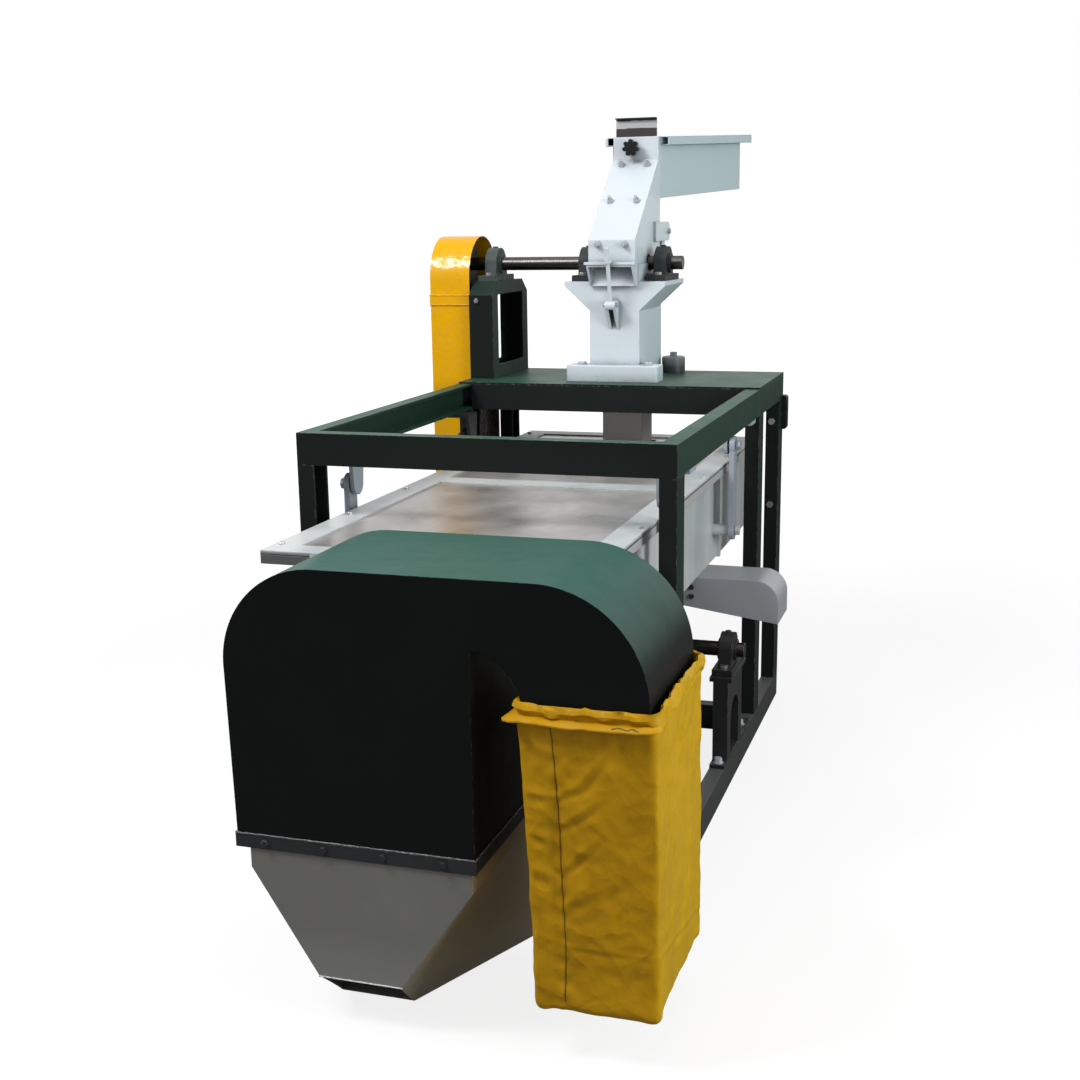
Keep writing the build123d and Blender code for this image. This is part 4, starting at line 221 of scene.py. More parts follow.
def bumpy(tree, strength, distance, height, **under):
    """A surface raised by a height."""
    return step(tree, "Bump", {"Strength": strength, "Distance": distance, "Height": height, **under})[0]


def facing(tree, where, direction):
    """How far a surface faces a direction."""
    return step(tree, "VectorMath", {0: where["Normal"], 1: direction}, operation="DOT_PRODUCT")["Value"]


def enamel(name, colour, roughness, drift, peel, grain, rub, dust, specular=0.5, coat=0.0,
           under=PRIMER_GREY, fade_and_light=None, light_from=LIGHT_FROM, grime_and_shade=0.0):
    """Enamel on steel: drifting colour, painted light on lit sides, orange peel, rubbed edges, flour, dirt
    and painted shade in corners.
    """
    mat, tree, skin, where = new_finish(name)
    broad = cloudy(tree, where["Object"], *BROAD_CLOUD)
    shade = blend(tree, broad, tint(colour, 1 - drift), tint(colour, 1 + drift))
    round_edge = step(tree, "Bevel", {"Radius": EDGE_ROUND}, samples=4)[0]
    flat = step(tree, "NewGeometry", {})["Normal"]
    turn = step(tree, "VectorMath", {0: round_edge, 1: flat}, operation="DOT_PRODUCT")["Value"]
    speck = ramp(tree, cloudy(tree, where["Object"], *SPECK_CLOUD), *SPECK_RUBBED)
    rubbed = reckon(tree, "MULTIPLY", ramp(tree, turn, *EDGE_RUBBED), speck)
    shade = blend(tree, reckon(tree, "MULTIPLY", rubbed, rub), shade, tint(under))
    # Painted light and shade: the faces that turn one way take a second colour.
    if fade_and_light:
        shade = blend(tree, ramp(tree, facing(tree, where, light_from), *LIT_FACING), shade, tint(fade_and_light))
    upturned = ramp(tree, split(tree, where["Normal"])["Z"], *UPTURNED)
    drifted = cloudy(tree, where["Object"], *DUST_CLOUD)
    settled = reckon(tree, "MULTIPLY", ramp(tree, drifted, *DUSTY, 0.0, dust), upturned)
    shade = blend(tree, settled, shade, tint(FLOUR_DUST))
    # Dirt and painted shade: corners and hollows are darkened brown, in patches.
    if grime_and_shade:
        hollow = step(tree, "AmbientOcclusion", {"Distance": GRIME_SHADE_REACH}, samples=6)["AO"]
        patchy = ramp(tree, drifted, *GRIMY, LEAST_GRIME * grime_and_shade, grime_and_shade)
        dirt_and_shade = reckon(tree, "MULTIPLY", ramp(tree, hollow, *HOLLOW), patchy)
        shade = blend(tree, dirt_and_shade, shade, tint(GRIME_SHADE_BROWN))
    fill(tree, skin, {
        "Base Color": shade,
        "Roughness": ramp(tree, drifted, 0.2, 0.8, roughness * 0.8, roughness * 1.3),
        "Normal": bumpy(tree, peel, 0.002, cloudy(tree, where["Object"], grain), Normal=round_edge),
        "Specular IOR Level": specular, "Coat Weight": coat, "Coat Roughness": 0.06})
    return mat


def dress(mat, *names):
    """The named solids take this finish."""
    for name in names:
        for place in nodes[name].material_slots:
            place.material = mat


frame_green = enamel("frame green enamel", FRAME_GREEN, roughness=0.40, drift=0.22, peel=0.10, grain=160.0,
                     rub=0.8, dust=0.02, specular=0.10, fade_and_light=FRAME_LIT_GREEN)
dress(frame_green, "top_ring", "mid_rail", "table_plate", "pedestal", "motor_plate")
post_green = enamel("post green enamel", FRAME_GREEN, roughness=0.46, drift=0.22, peel=0.10, grain=160.0,
                    rub=0.8, dust=0.02, specular=0.08, fade_and_light=POST_LIT_GREEN)
dress(post_green, "posts")
low_green = enamel("low frame enamel", FRAME_GREEN, roughness=0.46, drift=0.22, peel=0.10, grain=160.0,
                   rub=0.9, dust=0.05, specular=0.08, fade_and_light=LOW_LIT_GREY)
dress(low_green, "low_frame")


# The small fasteners: bolts, nuts, washers and spacers, turned or cold headed and plated bright.
# The plating has dulled unevenly and holds a little dirt; the studs of the mill's cover were painted over.
ZINC_GREY = (0.60, 0.61, 0.60)
STUD_GREY = (0.50, 0.53, 0.56)
STUD_UNDER = (0.12, 0.12, 0.12)
PLAIN_GRAIN = (1.0, 1.0, 1.0)
SMALL_EDGE = 0.0012
SCRATCH_CLOUD = (90.0, 4.0, 0.7)
TARNISH_CLOUD = (14.0, 6.0, 0.65)
TARNISHED = (0.40, 0.70)


def bare_metal(name, colour, roughness, stain, stretch, scratch):
    """Bare metal with fine scratches drawn out along one axis and a cloudy tarnish."""
    mat, tree, skin, where = new_finish(name)
    drawn = step(tree, "Mapping", {"Vector": where["Object"], "Scale": stretch})[0]
    lines = cloudy(tree, drawn, *SCRATCH_CLOUD)
    tarnish = ramp(tree, cloudy(tree, where["Object"], *TARNISH_CLOUD), *TARNISHED, 0.0, stain)
    round_edge = step(tree, "Bevel", {"Radius": SMALL_EDGE}, samples=4)[0]
    fill(tree, skin, {
        "Base Color": blend(tree, tarnish, tint(colour, 1.08), tint(colour, 0.45)),
        "Roughness": ramp(tree, lines, 0.25, 0.75, roughness * 0.7, roughness * 1.4),
        "Normal": bumpy(tree, scratch, 0.0006, lines, Normal=round_edge), "Metallic": 1.0})
    return mat


bright_zinc = bare_metal("plated fasteners", ZINC_GREY, roughness=0.32, stain=0.55, stretch=PLAIN_GRAIN,
                         scratch=0.12)
dress(bright_zinc, "frame_bolts", "cover_screws", "guard_spacers")
stud_grey = enamel("overpainted studs", STUD_GREY, roughness=0.35, drift=0.30, peel=0.25, grain=260.0,
                   rub=0.9, dust=0.0, under=STUD_UNDER)
dress(stud_grey, "cover_studs")


# The motor under the table: a ribbed grey-blue cast frame with its terminal box and fan cowl.
# It is bolted to a plate low in the frame, with its shaft towards the belt guard.
MOTOR_BLUE = (0.045, 0.105, 0.150)
motor_enamel = enamel("motor blue enamel", MOTOR_BLUE, roughness=0.42, drift=0.15, peel=0.22, grain=320.0,
                      rub=0.7, dust=0.10, specular=0.35)
dress(motor_enamel, "motor", "terminal_box", "fan_cover")


# The turning shafts: mill, motor and eccentric shafts, drawn bright bar turned between centres.
# The long bare run of the mill shaft has darkened, with fine rings round it.
SHAFT_GREY = (0.085, 0.080, 0.076)
PIN_GREY = (0.50, 0.51, 0.52)
TURNED_GRAIN = (12.0, 0.4, 0.4)
dark_bar = bare_metal("turned shaft", SHAFT_GREY, roughness=0.30, stain=0.6, stretch=TURNED_GRAIN,
                      scratch=0.10)
dress(dark_bar, "mill_shaft", "motor_shaft", "ecc_shaft")
bright_pin = bare_metal("pins and hammers", PIN_GREY, roughness=0.36, stain=0.7, stretch=PLAIN_GRAIN,
                        scratch=0.15)
dress(bright_pin, "mill_pins", "rotor", "eccentrics")


# The cast pieces: pillow blocks and pulleys, sand-cast iron, machined at the seats and grooves.
# The castings are painted a dull green-grey, grained by the sand; those at the mill are black with oil.
CAST_GREEN = (0.052, 0.072, 0.066)
CAST_OILED = (0.016, 0.020, 0.021)
OILED_X = (-0.30, -0.15)


def overlay(mat, share, colour):
    """A second colour laid over a finish by a share."""
    tree = mat.node_tree
    base = tree.nodes["Principled BSDF"].inputs["Base Color"]
    tree.links.new(blend(tree, share, base.links[0].from_socket, tint(colour)), base)


def overlay_along(mat, axis, span, most, colour):
    """A second colour laid over a finish that grows along one axis."""
    tree, skin, where = inside(mat)
    overlay(mat, ramp(tree, split(tree, where["Object"])[axis], *span, 0.0, most), colour)


cast_iron = enamel("cast iron", CAST_GREEN, roughness=0.50, drift=0.30, peel=0.55, grain=240.0, rub=0.9,
                   dust=0.12, specular=0.3)
overlay_along(cast_iron, "X", OILED_X, 0.85, CAST_OILED)
dress(cast_iron, "mill_bearings", "mill_pulley", "motor_pulley")


# The belts: three moulded V-belts from the motor to the mill and one down to the eccentric shaft.
# Black rubber with a fabric jacket, polished grey where it runs on the pulleys.
BELT_BLACK = (0.022, 0.022, 0.023)
BLOOM_CLOUD = (12.0, 5.0)


def rubber(name, colour, weave, roughness):
    """Black rubber with a woven jacket and pale dust."""
    mat, tree, skin, where = new_finish(name)
    threads = step(tree, "TexVoronoi", {"Vector": where["Object"], "Scale": weave})["Distance"]
    bloom = cloudy(tree, where["Object"], *BLOOM_CLOUD)
    fill(tree, skin, {
        "Base Color": blend(tree, bloom, tint(colour, 0.7), tint(colour, 1.9)),
        "Roughness": ramp(tree, bloom, 0.3, 0.7, roughness - 0.1, roughness + 0.1),
        "Normal": bumpy(tree, 0.25, 0.0008, threads), "Specular IOR Level": 0.3})
    return mat


belt_black = rubber("belt rubber", BELT_BLACK, weave=420.0, roughness=0.62)
dress(belt_black, "mill_belts", "screen_belt")


# The belt guard: folded sheet steel, a long body and a round-topped cap bolted over it.
# Its thick yellow enamel ran: glossy in patches, dull on top; the side towards the frame is painted dark as
# painted shade.
GUARD_YELLOW = (0.900, 0.455, 0.001)
GUARD_RUBBED = (0.95, 0.80, 0.45)
GUARD_INNER_SHADE = (0.035, 0.028, 0.016)
RUN_CLOUD = (38.0, 3.0, 0.6)
GLOSSY = (0.42, 0.50)
LEAST_GLOSS = 0.10
DULL_TOP = (0.75, 0.50)
INNER_SHADE_SIDE = (0.80, 0.95)
guard_yellow = enamel("guard yellow enamel", GUARD_YELLOW, roughness=0.26, drift=0.06, peel=0.5, grain=44.0,
                      rub=0.4, dust=0.0, specular=0.15, coat=0.75, under=GUARD_RUBBED)
tree, skin, where = inside(guard_yellow)
runs = cloudy(tree, where["Object"], *RUN_CLOUD)
way = split(tree, where["Normal"])
patches = ramp(tree, runs, *GLOSSY, LEAST_GLOSS)
fill(tree, skin, {"Coat Normal": bumpy(tree, 1.0, 0.003, runs),
                  "Coat Weight": reckon(tree, "MULTIPLY", patches, ramp(tree, way["Z"], *DULL_TOP))})
# Painted shade: the faces towards the frame are darkened to a dark brown.
overlay(guard_yellow, ramp(tree, way["X"], *INNER_SHADE_SIDE), GUARD_INNER_SHADE)
dress(guard_yellow, "guard_body", "guard_cap")


# The mill: a welded steel casing on a front foot, with wedge shelves for the bearings.
# The hinged upper half carries the front cover and the feed tray; white enamel, scuffed at the edges.
# Its right-facing sides carry a painted teal shade, and its corners are darkened by dirt and painted shade.
MILL_WHITE = (0.735, 0.810, 0.870)
MILL_SHADE_TEAL = (0.770, 0.930, 0.970)
MILL_UNDER = (0.25, 0.26, 0.27)
TRAY_WHITE = (0.650, 0.830, 0.860)
DUCT_GREY = (0.40, 0.38, 0.35)
mill_white = enamel("mill white enamel", MILL_WHITE, roughness=0.30, drift=0.05, peel=0.10, grain=120.0,
                    rub=0.55, dust=0.02, under=MILL_UNDER, fade_and_light=MILL_SHADE_TEAL, light_from=FROM_RIGHT, grime_and_shade=0.95)
dress(mill_white, "mill_foot", "lower_casing", "upper_casing", "front_cover", "swing_bolt")
tray_white = enamel("tray teal-white enamel", TRAY_WHITE, roughness=0.34, drift=0.04, peel=0.10, grain=120.0,
                    rub=0.5, dust=0.02, under=MILL_UNDER, grime_and_shade=0.6)
dress(tray_white, "hopper")
duct_grey = enamel("duct grey enamel", DUCT_GREY, roughness=0.40, drift=0.12, peel=0.12, grain=120.0,
                   rub=0.6, dust=0.05)
dress(duct_grey, "discharge_duct")


# The round boss beside the mill: a short turned steel bush with a nut, painted grey.
# It is darker towards the bottom.
BOSS_GREY = (0.210, 0.240, 0.250)
BOSS_LOWER_DARK = (0.016, 0.018, 0.018)
BOSS_DARK_Z = (1.080, 1.050)
boss_grey = enamel("boss grey enamel", BOSS_GREY, roughness=0.42, drift=0.40, peel=0.15, grain=90.0,
                   rub=0.8, dust=0.08)
overlay_along(boss_grey, "Z", BOSS_DARK_Z, 0.9, BOSS_LOWER_DARK)
dress(boss_grey, "boss")


# The feed gate: a plain steel slide in the mouth of the tray, pulled up by hand and held by the knob.
# Its folded top is painted as a dark lip of painted shade over a bright band of painted highlight, and below
# that the sheet is brown.
GATE_BROWN = (0.045, 0.034, 0.034)
GATE_BEND_HIGHLIGHT = (0.52, 0.53, 0.54)
GATE_LIP_SHADE = (0.030, 0.030, 0.034)
GATE_BANDS = ((0.030, GATE_BEND_HIGHLIGHT), (0.008, GATE_LIP_SHADE))
GATE_RAGGED = 0.004
GATE_EDGE = 0.001
GATE_GRAIN = (8.0, 8.0, 0.5)
GATE_CLOUD = (40.0, 4.0)
gate_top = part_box("gate")[1].z
gate_steel, tree, skin, where = new_finish("gate steel")
ragged = ramp(tree, cloudy(tree, where["Object"], *GATE_CLOUD), 0.0, 1.0, -GATE_RAGGED, GATE_RAGGED)
height = reckon(tree, "ADD", split(tree, where["Object"])["Z"], ragged)
shade = tint(GATE_BROWN)
for depth, colour in GATE_BANDS:
    edge = gate_top - depth
    shade = blend(tree, ramp(tree, height, edge - GATE_EDGE, edge + GATE_EDGE), shade, tint(colour))
rubs = step(tree, "Mapping", {"Vector": where["Object"], "Scale": GATE_GRAIN})[0]
rubs = cloudy(tree, rubs, *GATE_CLOUD)
fill(tree, skin, {"Base Color": shade, "Roughness": ramp(tree, rubs, 0.0, 1.0, 0.30, 0.55),
                  "Normal": bumpy(tree, 0.1, 0.0006, rubs)})
dress(gate_steel, "gate")


# The gate's star knob: black moulded plastic on a clamping screw.
# The mould leaves a fine even grain, and fingers have polished the tips.
KNOB_BLACK = (0.012, 0.012, 0.013)
knob_black = enamel("knob plastic", KNOB_BLACK, roughness=0.34, drift=0.30, peel=0.20, grain=700.0,
                    rub=0.12, dust=0.04, specular=0.25)
dress(knob_black, "gate_knob")


# The sieves: punched steel sheet, a half-round one in the mill and two flat decks in the box.
# The holes are too fine to cut one by one, so the sheet carries their pattern.
SIEVE_PITCH = 0.005
SIEVE_HOLE = (0.02, 0.02, 0.02)
HOLE_EDGE = (0.30, 0.26)
sieve_sheet = bare_metal("punched sheet", PIN_GREY, roughness=0.40, stain=0.4, stretch=PLAIN_GRAIN,
                         scratch=0.10)
tree, skin, where = inside(sieve_sheet)
holes = step(tree, "TexVoronoi", {"Vector": where["Object"], "Scale": 1 / SIEVE_PITCH, "Randomness": 0.0})
overlay(sieve_sheet, ramp(tree, holes["Distance"], *HOLE_EDGE), SIEVE_HOLE)
dress(sieve_sheet, "mill_sieve", "sieve_decks")


# The screen box: a trough and a rim bar of rolled aluminium-grey sheet, with clamping strips.
# The sheet is streaked from top to bottom and has dull stains from handling.
# Its corners are darkened by dirt and painted shade, and the rim bar is painted pale on its right side as
# painted light.
BOX_GREY = (0.64, 0.68, 0.68)
BOX_UNDER = (0.16, 0.16, 0.16)
STREAK_GREY = (0.36, 0.42, 0.43)
STREAK_GRAIN = (5.0, 5.0, 0.5)
STREAK_CLOUD = (1.0, 4.0, 0.6)
STREAKED = (0.46, 0.70)
MOST_STREAK = 0.6
RIM_GREY = (0.13, 0.145, 0.145)
RIM_LIT_PALE = (0.48, 0.50, 0.49)
RIM_UNDER = (0.10, 0.10, 0.10)
box_grey = enamel("box grey sheet", BOX_GREY, roughness=0.36, drift=0.18, peel=0.10, grain=60.0, rub=0.6,
                  dust=0.06, under=BOX_UNDER, grime_and_shade=0.25)
tree, skin, where = inside(box_grey)
drawn = step(tree, "Mapping", {"Vector": where["Object"], "Scale": STREAK_GRAIN})[0]
overlay(box_grey, ramp(tree, cloudy(tree, drawn, *STREAK_CLOUD), *STREAKED, 0.0, MOST_STREAK), STREAK_GREY)
dress(box_grey, "trough", "cover_strips")
rim_grey = enamel("rim bar grey paint", RIM_GREY, roughness=0.40, drift=0.20, peel=0.15, grain=60.0, rub=0.7,
                  dust=0.05, under=RIM_UNDER, fade_and_light=RIM_LIT_PALE, light_from=FROM_RIGHT)
dress(rim_grey, "box_rim")
gasket_black = rubber("gasket rubber", BELT_BLACK, weave=300.0, roughness=0.7)
dress(gasket_black, "gasket")


# The two cover sheets: thin rolled sheet under the clamping strips, brownish and shiny.
# Years of wiping have left cloudy scuffs and flour stains on it.
COVER_BROWN = (0.390, 0.365, 0.340)
COVER_PALE = (0.68, 0.67, 0.66)
WIPE_STRETCH = (1.0, 0.8, 1.0)
WIPE_TURN = (0.0, 0.0, 0.4)
SCUFF_CLOUD = (8.0, 1.0)
BLOTCH_CLOUD = (42.0, 1.0)
WAVE_CLOUD = (5.0, 1.0)
SCUFFED = (0.2, 0.8)
LEAST_BLOTCH = 0.55
COVER_GLOSS = (0.24, 0.38)
cover_brown, tree, skin, where = new_finish("cover sheet")
wiped = step(tree, "Mapping", {"Vector": where["Object"], "Scale": WIPE_STRETCH, "Rotation": WIPE_TURN})[0]
scuff = cloudy(tree, wiped, *SCUFF_CLOUD)
blotch = ramp(tree, cloudy(tree, wiped, *BLOTCH_CLOUD), *SCUFFED, LEAST_BLOTCH)
pale = reckon(tree, "MULTIPLY", ramp(tree, scuff, *SCUFFED), blotch)
fill(tree, skin, {
    "Base Color": blend(tree, pale, tint(COVER_BROWN), tint(COVER_PALE)),
    "Roughness": ramp(tree, scuff, *SCUFFED, *COVER_GLOSS),
    "Normal": bumpy(tree, 0.25, 0.003, cloudy(tree, where["Object"], *WAVE_CLOUD)), "Metallic": 0.55})
dress(cover_brown, "cover_front", "cover_rear")


# The hangers: flat links and angle brackets that let the box swing, cut from flat bar.
# They have thin blue-grey paint, worn at the eyes; the rear left one and the rear left corner of the brackets
# are painted black as painted shade.
LINK_BLUE = (0.36, 0.42, 0.47)
REAR_SHADE_BLACK = (0.022, 0.022, 0.022)
SHADE_X, SHADE_Y = (-0.1, -0.2), (0.0, 0.1)
link_blue = enamel("link blue-grey paint", LINK_BLUE, roughness=0.38, drift=0.12, peel=0.15, grain=140.0,
                   rub=0.9, dust=0.05)
dress(link_blue, "link_left_front", "link_right_front", "link_right_rear")
bracket_blue = enamel("bracket blue-grey paint", LINK_BLUE, roughness=0.40, drift=0.14, peel=0.15,
                      grain=140.0, rub=0.9, dust=0.05)
tree, skin, where = inside(bracket_blue)
spot = split(tree, where["Object"])
rear_shade = reckon(tree, "MULTIPLY", ramp(tree, spot["X"], *SHADE_X), ramp(tree, spot["Y"], *SHADE_Y))
overlay(bracket_blue, rear_shade, REAR_SHADE_BLACK)
dress(bracket_blue, "hanger_brackets")


# The eccentric drive: two stands with a turning shaft, and rods that push the box to and fro.
# Plate and bar welded together, sprayed black and greasy.
DRIVE_BLACK = (0.020, 0.021, 0.022)
drive_black = enamel("drive black enamel", DRIVE_BLACK, roughness=0.38, drift=0.30, peel=0.20, grain=130.0,
                     rub=0.5, dust=0.06, specular=0.3)
# The rear left link takes this black too, as painted shade.
dress(drive_black, "ecc_stands", "ecc_bearings", "ecc_pulley", "conrods", "link_left_rear")


# The side chute: a folded grey duct that carries the rejected grain out to the right.
# It is bolted to the box, and its top edge is rubbed.
CHUTE_GREY = (0.360, 0.385, 0.415)
chute_grey = enamel("chute grey enamel", CHUTE_GREY, roughness=0.40, drift=0.08, peel=0.12, grain=110.0,
                    rub=0.6, dust=0.05)
dress(chute_grey, "side_chute")


# The hood: sheet steel folded over the box's front end, with the elbow that turns down into the bag.
# It is dark green enamel, painted a paler green on top as painted light; the bolted flange under it is black
# and chipped.
HOOD_GREEN = (0.008, 0.0095, 0.0095)
HOOD_TOP_LIT = (0.0225, 0.115, 0.085)
HOOD_LIGHT_FROM = (0.05, 0.0, 0.68)
FLANGE_GREY = (0.030, 0.032, 0.035)
hood_green = enamel("hood green enamel", HOOD_GREEN, roughness=0.38, drift=0.25, peel=0.16, grain=18.0,
                    rub=0.5, dust=0.0, specular=0.10, fade_and_light=HOOD_TOP_LIT, light_from=HOOD_LIGHT_FROM)
dress(hood_green, "hood")
flange_grey = enamel("flange dark enamel", FLANGE_GREY, roughness=0.46, drift=0.35, peel=0.25, grain=90.0,
                     rub=0.9, dust=0.08, specular=0.3)
dress(flange_grey, "hood_flange", "trunk_bolts")


# The spout: four tapered plates welded into a funnel under the hood, open at the nose.
# Its cream paint is grubby, is painted yellow on the right as light thrown back from the bag, and is worn
# pale towards the nose.
SPOUT_CREAM = (0.215, 0.213, 0.195)
SPOUT_UNDER = (0.55, 0.55, 0.52)
SPOUT_BOUNCE_YELLOW = (0.400, 0.340, 0.200)
SPOUT_WORN = (0.42, 0.42, 0.41)
SPOUT_WORN_Z = (0.200, 0.030)
spout_cream = enamel("spout cream paint", SPOUT_CREAM, roughness=0.44, drift=0.22, peel=0.15, grain=70.0,
                     rub=0.9, dust=0.03, under=SPOUT_UNDER, fade_and_light=SPOUT_BOUNCE_YELLOW, light_from=FROM_RIGHT)
overlay_along(spout_cream, "Z", SPOUT_WORN_Z, 0.45, SPOUT_WORN)
dress(spout_cream, "spout")


# The collecting bag: yellow coated cloth sewn into a square sack and hung from the elbow's spigot.
# It hangs a little slack, with puckers along the seam down its front and a crease where it was folded flat.
# Each level is a height, the left and right side there, and how far the cloth stands off the hood's depth.
BAG_YELLOW = (0.615, 0.322, 0.003)
BAG_SUN = (0.92, 1.06, 0.35, 1.0)
BAG_LEVELS = ((0.685, 0.325, 0.582, 0.0100), (0.390, 0.334, 0.592, 0.0125), (0.096, 0.343, 0.592, 0.0125))
HOOD_FRONT, HOOD_REAR = -1.485, -1.127
BAG_CORNER = 0.016
LEAST_CORNER = 0.001
BAG_ROUND = 144
BAG_ROWS = 64
BAG_TURN_ROWS = 5
BAG_FLOOR_RINGS = 8
CORNER_STEPS = 8
RIM_TUCK = 0.004
HELD_ROWS = 3
BAG_FRAMES = 20
BAG_SLACK = 0.009
BAG_DROP = 0.003
BAG_CLOTH = 0.0011
HANG = {
    "quality": 7, "mass": 0.3, "air_damping": 4.0, "tension_stiffness": 30.0, "compression_stiffness": 30.0,
    "shear_stiffness": 15.0, "bending_stiffness": 4.0, "shrink_min": -0.006, "shrink_max": 0.04,
    "use_pressure": True, "uniform_pressure_force": 0.15,
}
SEAM_LINE = ((0.650, 0.386), (0.564, 0.394), (0.459, 0.400), (0.341, 0.404), (0.230, 0.410), (0.096, 0.407))
SEAM_PULL = 0.02
LAP_RISE, LAP_EDGE, LAP_FADE = 0.0022, 0.006, 0.03
PUCKER_RISE, PUCKER_RATE, PUCKER_WIDTH = 0.0016, 150.0, 0.012
RIPPLES = ((0.0024, 14.0), (0.0012, 37.0))
SMOOTH_RIM = 0.012
SIDE_GAIN, SIDE_START = 1.6, 0.5
FOLD_RISE = 0.85
FOLD_TIP, FOLD_SPAN = 0.12, 0.76
HOLLOW_SHARE, HOLLOW_BELOW = 0.8, 1.6
FADE_CLOUD = (6.0, 5.0, 0.6)
SMUDGE_CLOUD = (19.0, 6.0, 0.7)
SMUDGED = (0.52, 0.78)
MOST_SMUDGE = 0.35
SUNLIT = (0.3, 0.9)
WEAVE_SCALE = 110.0
CRUSHED = ((15.0, 0.45, 0.012), (38.0, 0.30, 0.006))
FRONT_CREASES = (
    (((0.400, 0.518), (0.442, 0.540), (0.498, 0.614)), 0.0042, 0.0075),
    (((0.404, 0.460), (0.441, 0.488), (0.475, 0.515)), 0.0040, 0.0070),
    (((0.409, 0.375), (0.435, 0.405), (0.475, 0.445)), 0.0040, 0.0070),
    (((0.411, 0.306), (0.451, 0.336)), 0.0035, 0.009),
    (((0.468, 0.338), (0.514, 0.368)), 0.0030, 0.010),
    (((0.352, 0.252), (0.416, 0.231), (0.468, 0.230), (0.590, 0.226)), 0.0016, 0.005),
    (((0.350, 0.524), (0.386, 0.514)), 0.0040, 0.0085),
    (((0.352, 0.448), (0.394, 0.434)), 0.0040, 0.0085),
    (((0.352, 0.382), (0.396, 0.362)), 0.0045, 0.012),
    (((0.335, 0.645), (0.372, 0.598)), 0.0040, 0.0085),
    (((0.411, 0.568), (0.411, 0.531)), 0.0035, 0.006),
)
SIDE_CREASES = (
    (((-1.495, 0.226), (-1.424, 0.216), (-1.275, 0.190), (-1.120, 0.160)), 0.0024, 0.006),
    (((-1.420, 0.640), (-1.396, 0.520), (-1.350, 0.359)), 0.0030, 0.018),
    (((-1.300, 0.640), (-1.270, 0.500)), 0.0030, 0.020),
)


def share_of(value):
    """A value kept between 0 and 1."""
    return min(1.0, max(0.0, value))


def bag_outline(z, count, grow=0.0):
    """Evenly spaced points round the bag at a height, from the middle of its rear side to the left."""
    upper, lower = BAG_LEVELS[:2] if z >= BAG_LEVELS[1][0] else BAG_LEVELS[1:]
    share = (upper[0] - z) / (upper[0] - lower[0])
    left, right, out = [a + (b - a) * share for a, b in zip(upper[1:], lower[1:])]
    left, right, near, far = left - grow, right + grow, HOOD_FRONT - out - grow, HOOD_REAR + out + grow
    r = max(BAG_CORNER + grow, LEAST_CORNER)
    path = [Vector(((left + right) / 2, far))]
    turns = ((left + r, far - r, 90), (left + r, near + r, 180),
             (right - r, near + r, 270), (right - r, far - r, 0))
    for x, y, start in turns:
        for i in range(CORNER_STEPS + 1):
            angle = math.radians(start + 90 * i / CORNER_STEPS)
            path.append(Vector((x + r * math.cos(angle), y + r * math.sin(angle))))
    path.append(path[0])
    reach = [0.0]
    for p, q in zip(path, path[1:]):
        reach.append(reach[-1] + (q - p).length)
    points, k = [], 0
    for i in range(count):
        goal = reach[-1] * i / count
        while reach[k + 1] < goal:
            k += 1
        points.append(path[k].lerp(path[k + 1], (goal - reach[k]) / max(reach[k + 1] - reach[k], 1e-9)))
    return points


def from_rings(name, rings, closed_end=None, loop=False):
    """A mesh whose faces join each ring of points to the next one, with an end point or closed on itself."""
    count = len(rings[0])
    verts = [v for ring in rings for v in ring]
    faces = []
    for i in range(len(rings) - (0 if loop else 1)):
        j = (i + 1) % len(rings)
        for k in range(count):
            n = (k + 1) % count
            faces.append((i * count + k, j * count + k, j * count + n, i * count + n))
    if closed_end is not None:
        verts.append(closed_end)
        last = (len(rings) - 1) * count
        faces += [(last + k, len(verts) - 1, last + (k + 1) % count) for k in range(count)]
    mesh = bpy.data.meshes.new(name)
    mesh.from_pydata([tuple(v) for v in verts], [], faces)
    mesh.polygons.foreach_set("use_smooth", [True] * len(faces))
    return mesh


def placed(name, mesh):
    """An object at the origin that holds the mesh."""
    made = bpy.data.objects.new(name, mesh)
    bpy.context.scene.collection.objects.link(made)
    return made


def settle(piece):
    """The piece's mesh with its modifiers worked in, and no modifier left."""
    bpy.context.view_layer.update()
    mesh = bpy.data.meshes.new_from_object(piece.evaluated_get(bpy.context.evaluated_depsgraph_get()))
    piece.modifiers.clear()
    old, piece.data = piece.data, mesh
    mesh.name = piece.name
    bpy.data.meshes.remove(old)
    return piece


def along(line, height):
    """The place of a line of (height, place) points at a height, the points going down."""
    for (z1, x1), (z0, x0) in zip(line, line[1:]):
        if height >= z0:
            return x1 + (x0 - x1) * (z1 - height) / (z1 - z0)
    return line[-1][1]


def crease_height(creases, u, z):
    """How far a sharp fold lifts the cloth at a point of one side: a ridge with a hollow under it."""
    lift = 0.0
    here = Vector((u, z))
    for line, rise, width in creases:
        best, share, below = 1.0, 0.0, 0.0
        total = len(line) - 1
        for i in range(total):
            start, run = Vector(line[i]), Vector(line[i + 1]) - Vector(line[i])
            t = share_of((here - start).dot(run) / run.length_squared)
            gap = here - (start + run * t)
            if gap.length < best:
                best, share, below = gap.length, (i + t) / total, gap.y
        fade = math.sin(math.pi * share_of(FOLD_TIP + FOLD_SPAN * share))
        offset = math.copysign(best, below)
        hollow = HOLLOW_SHARE * math.exp(-((offset + HOLLOW_BELOW * width) / width) ** 2)
        lift += FOLD_RISE * rise * (math.exp(-abs(offset) / width) - hollow) * fade
    return lift


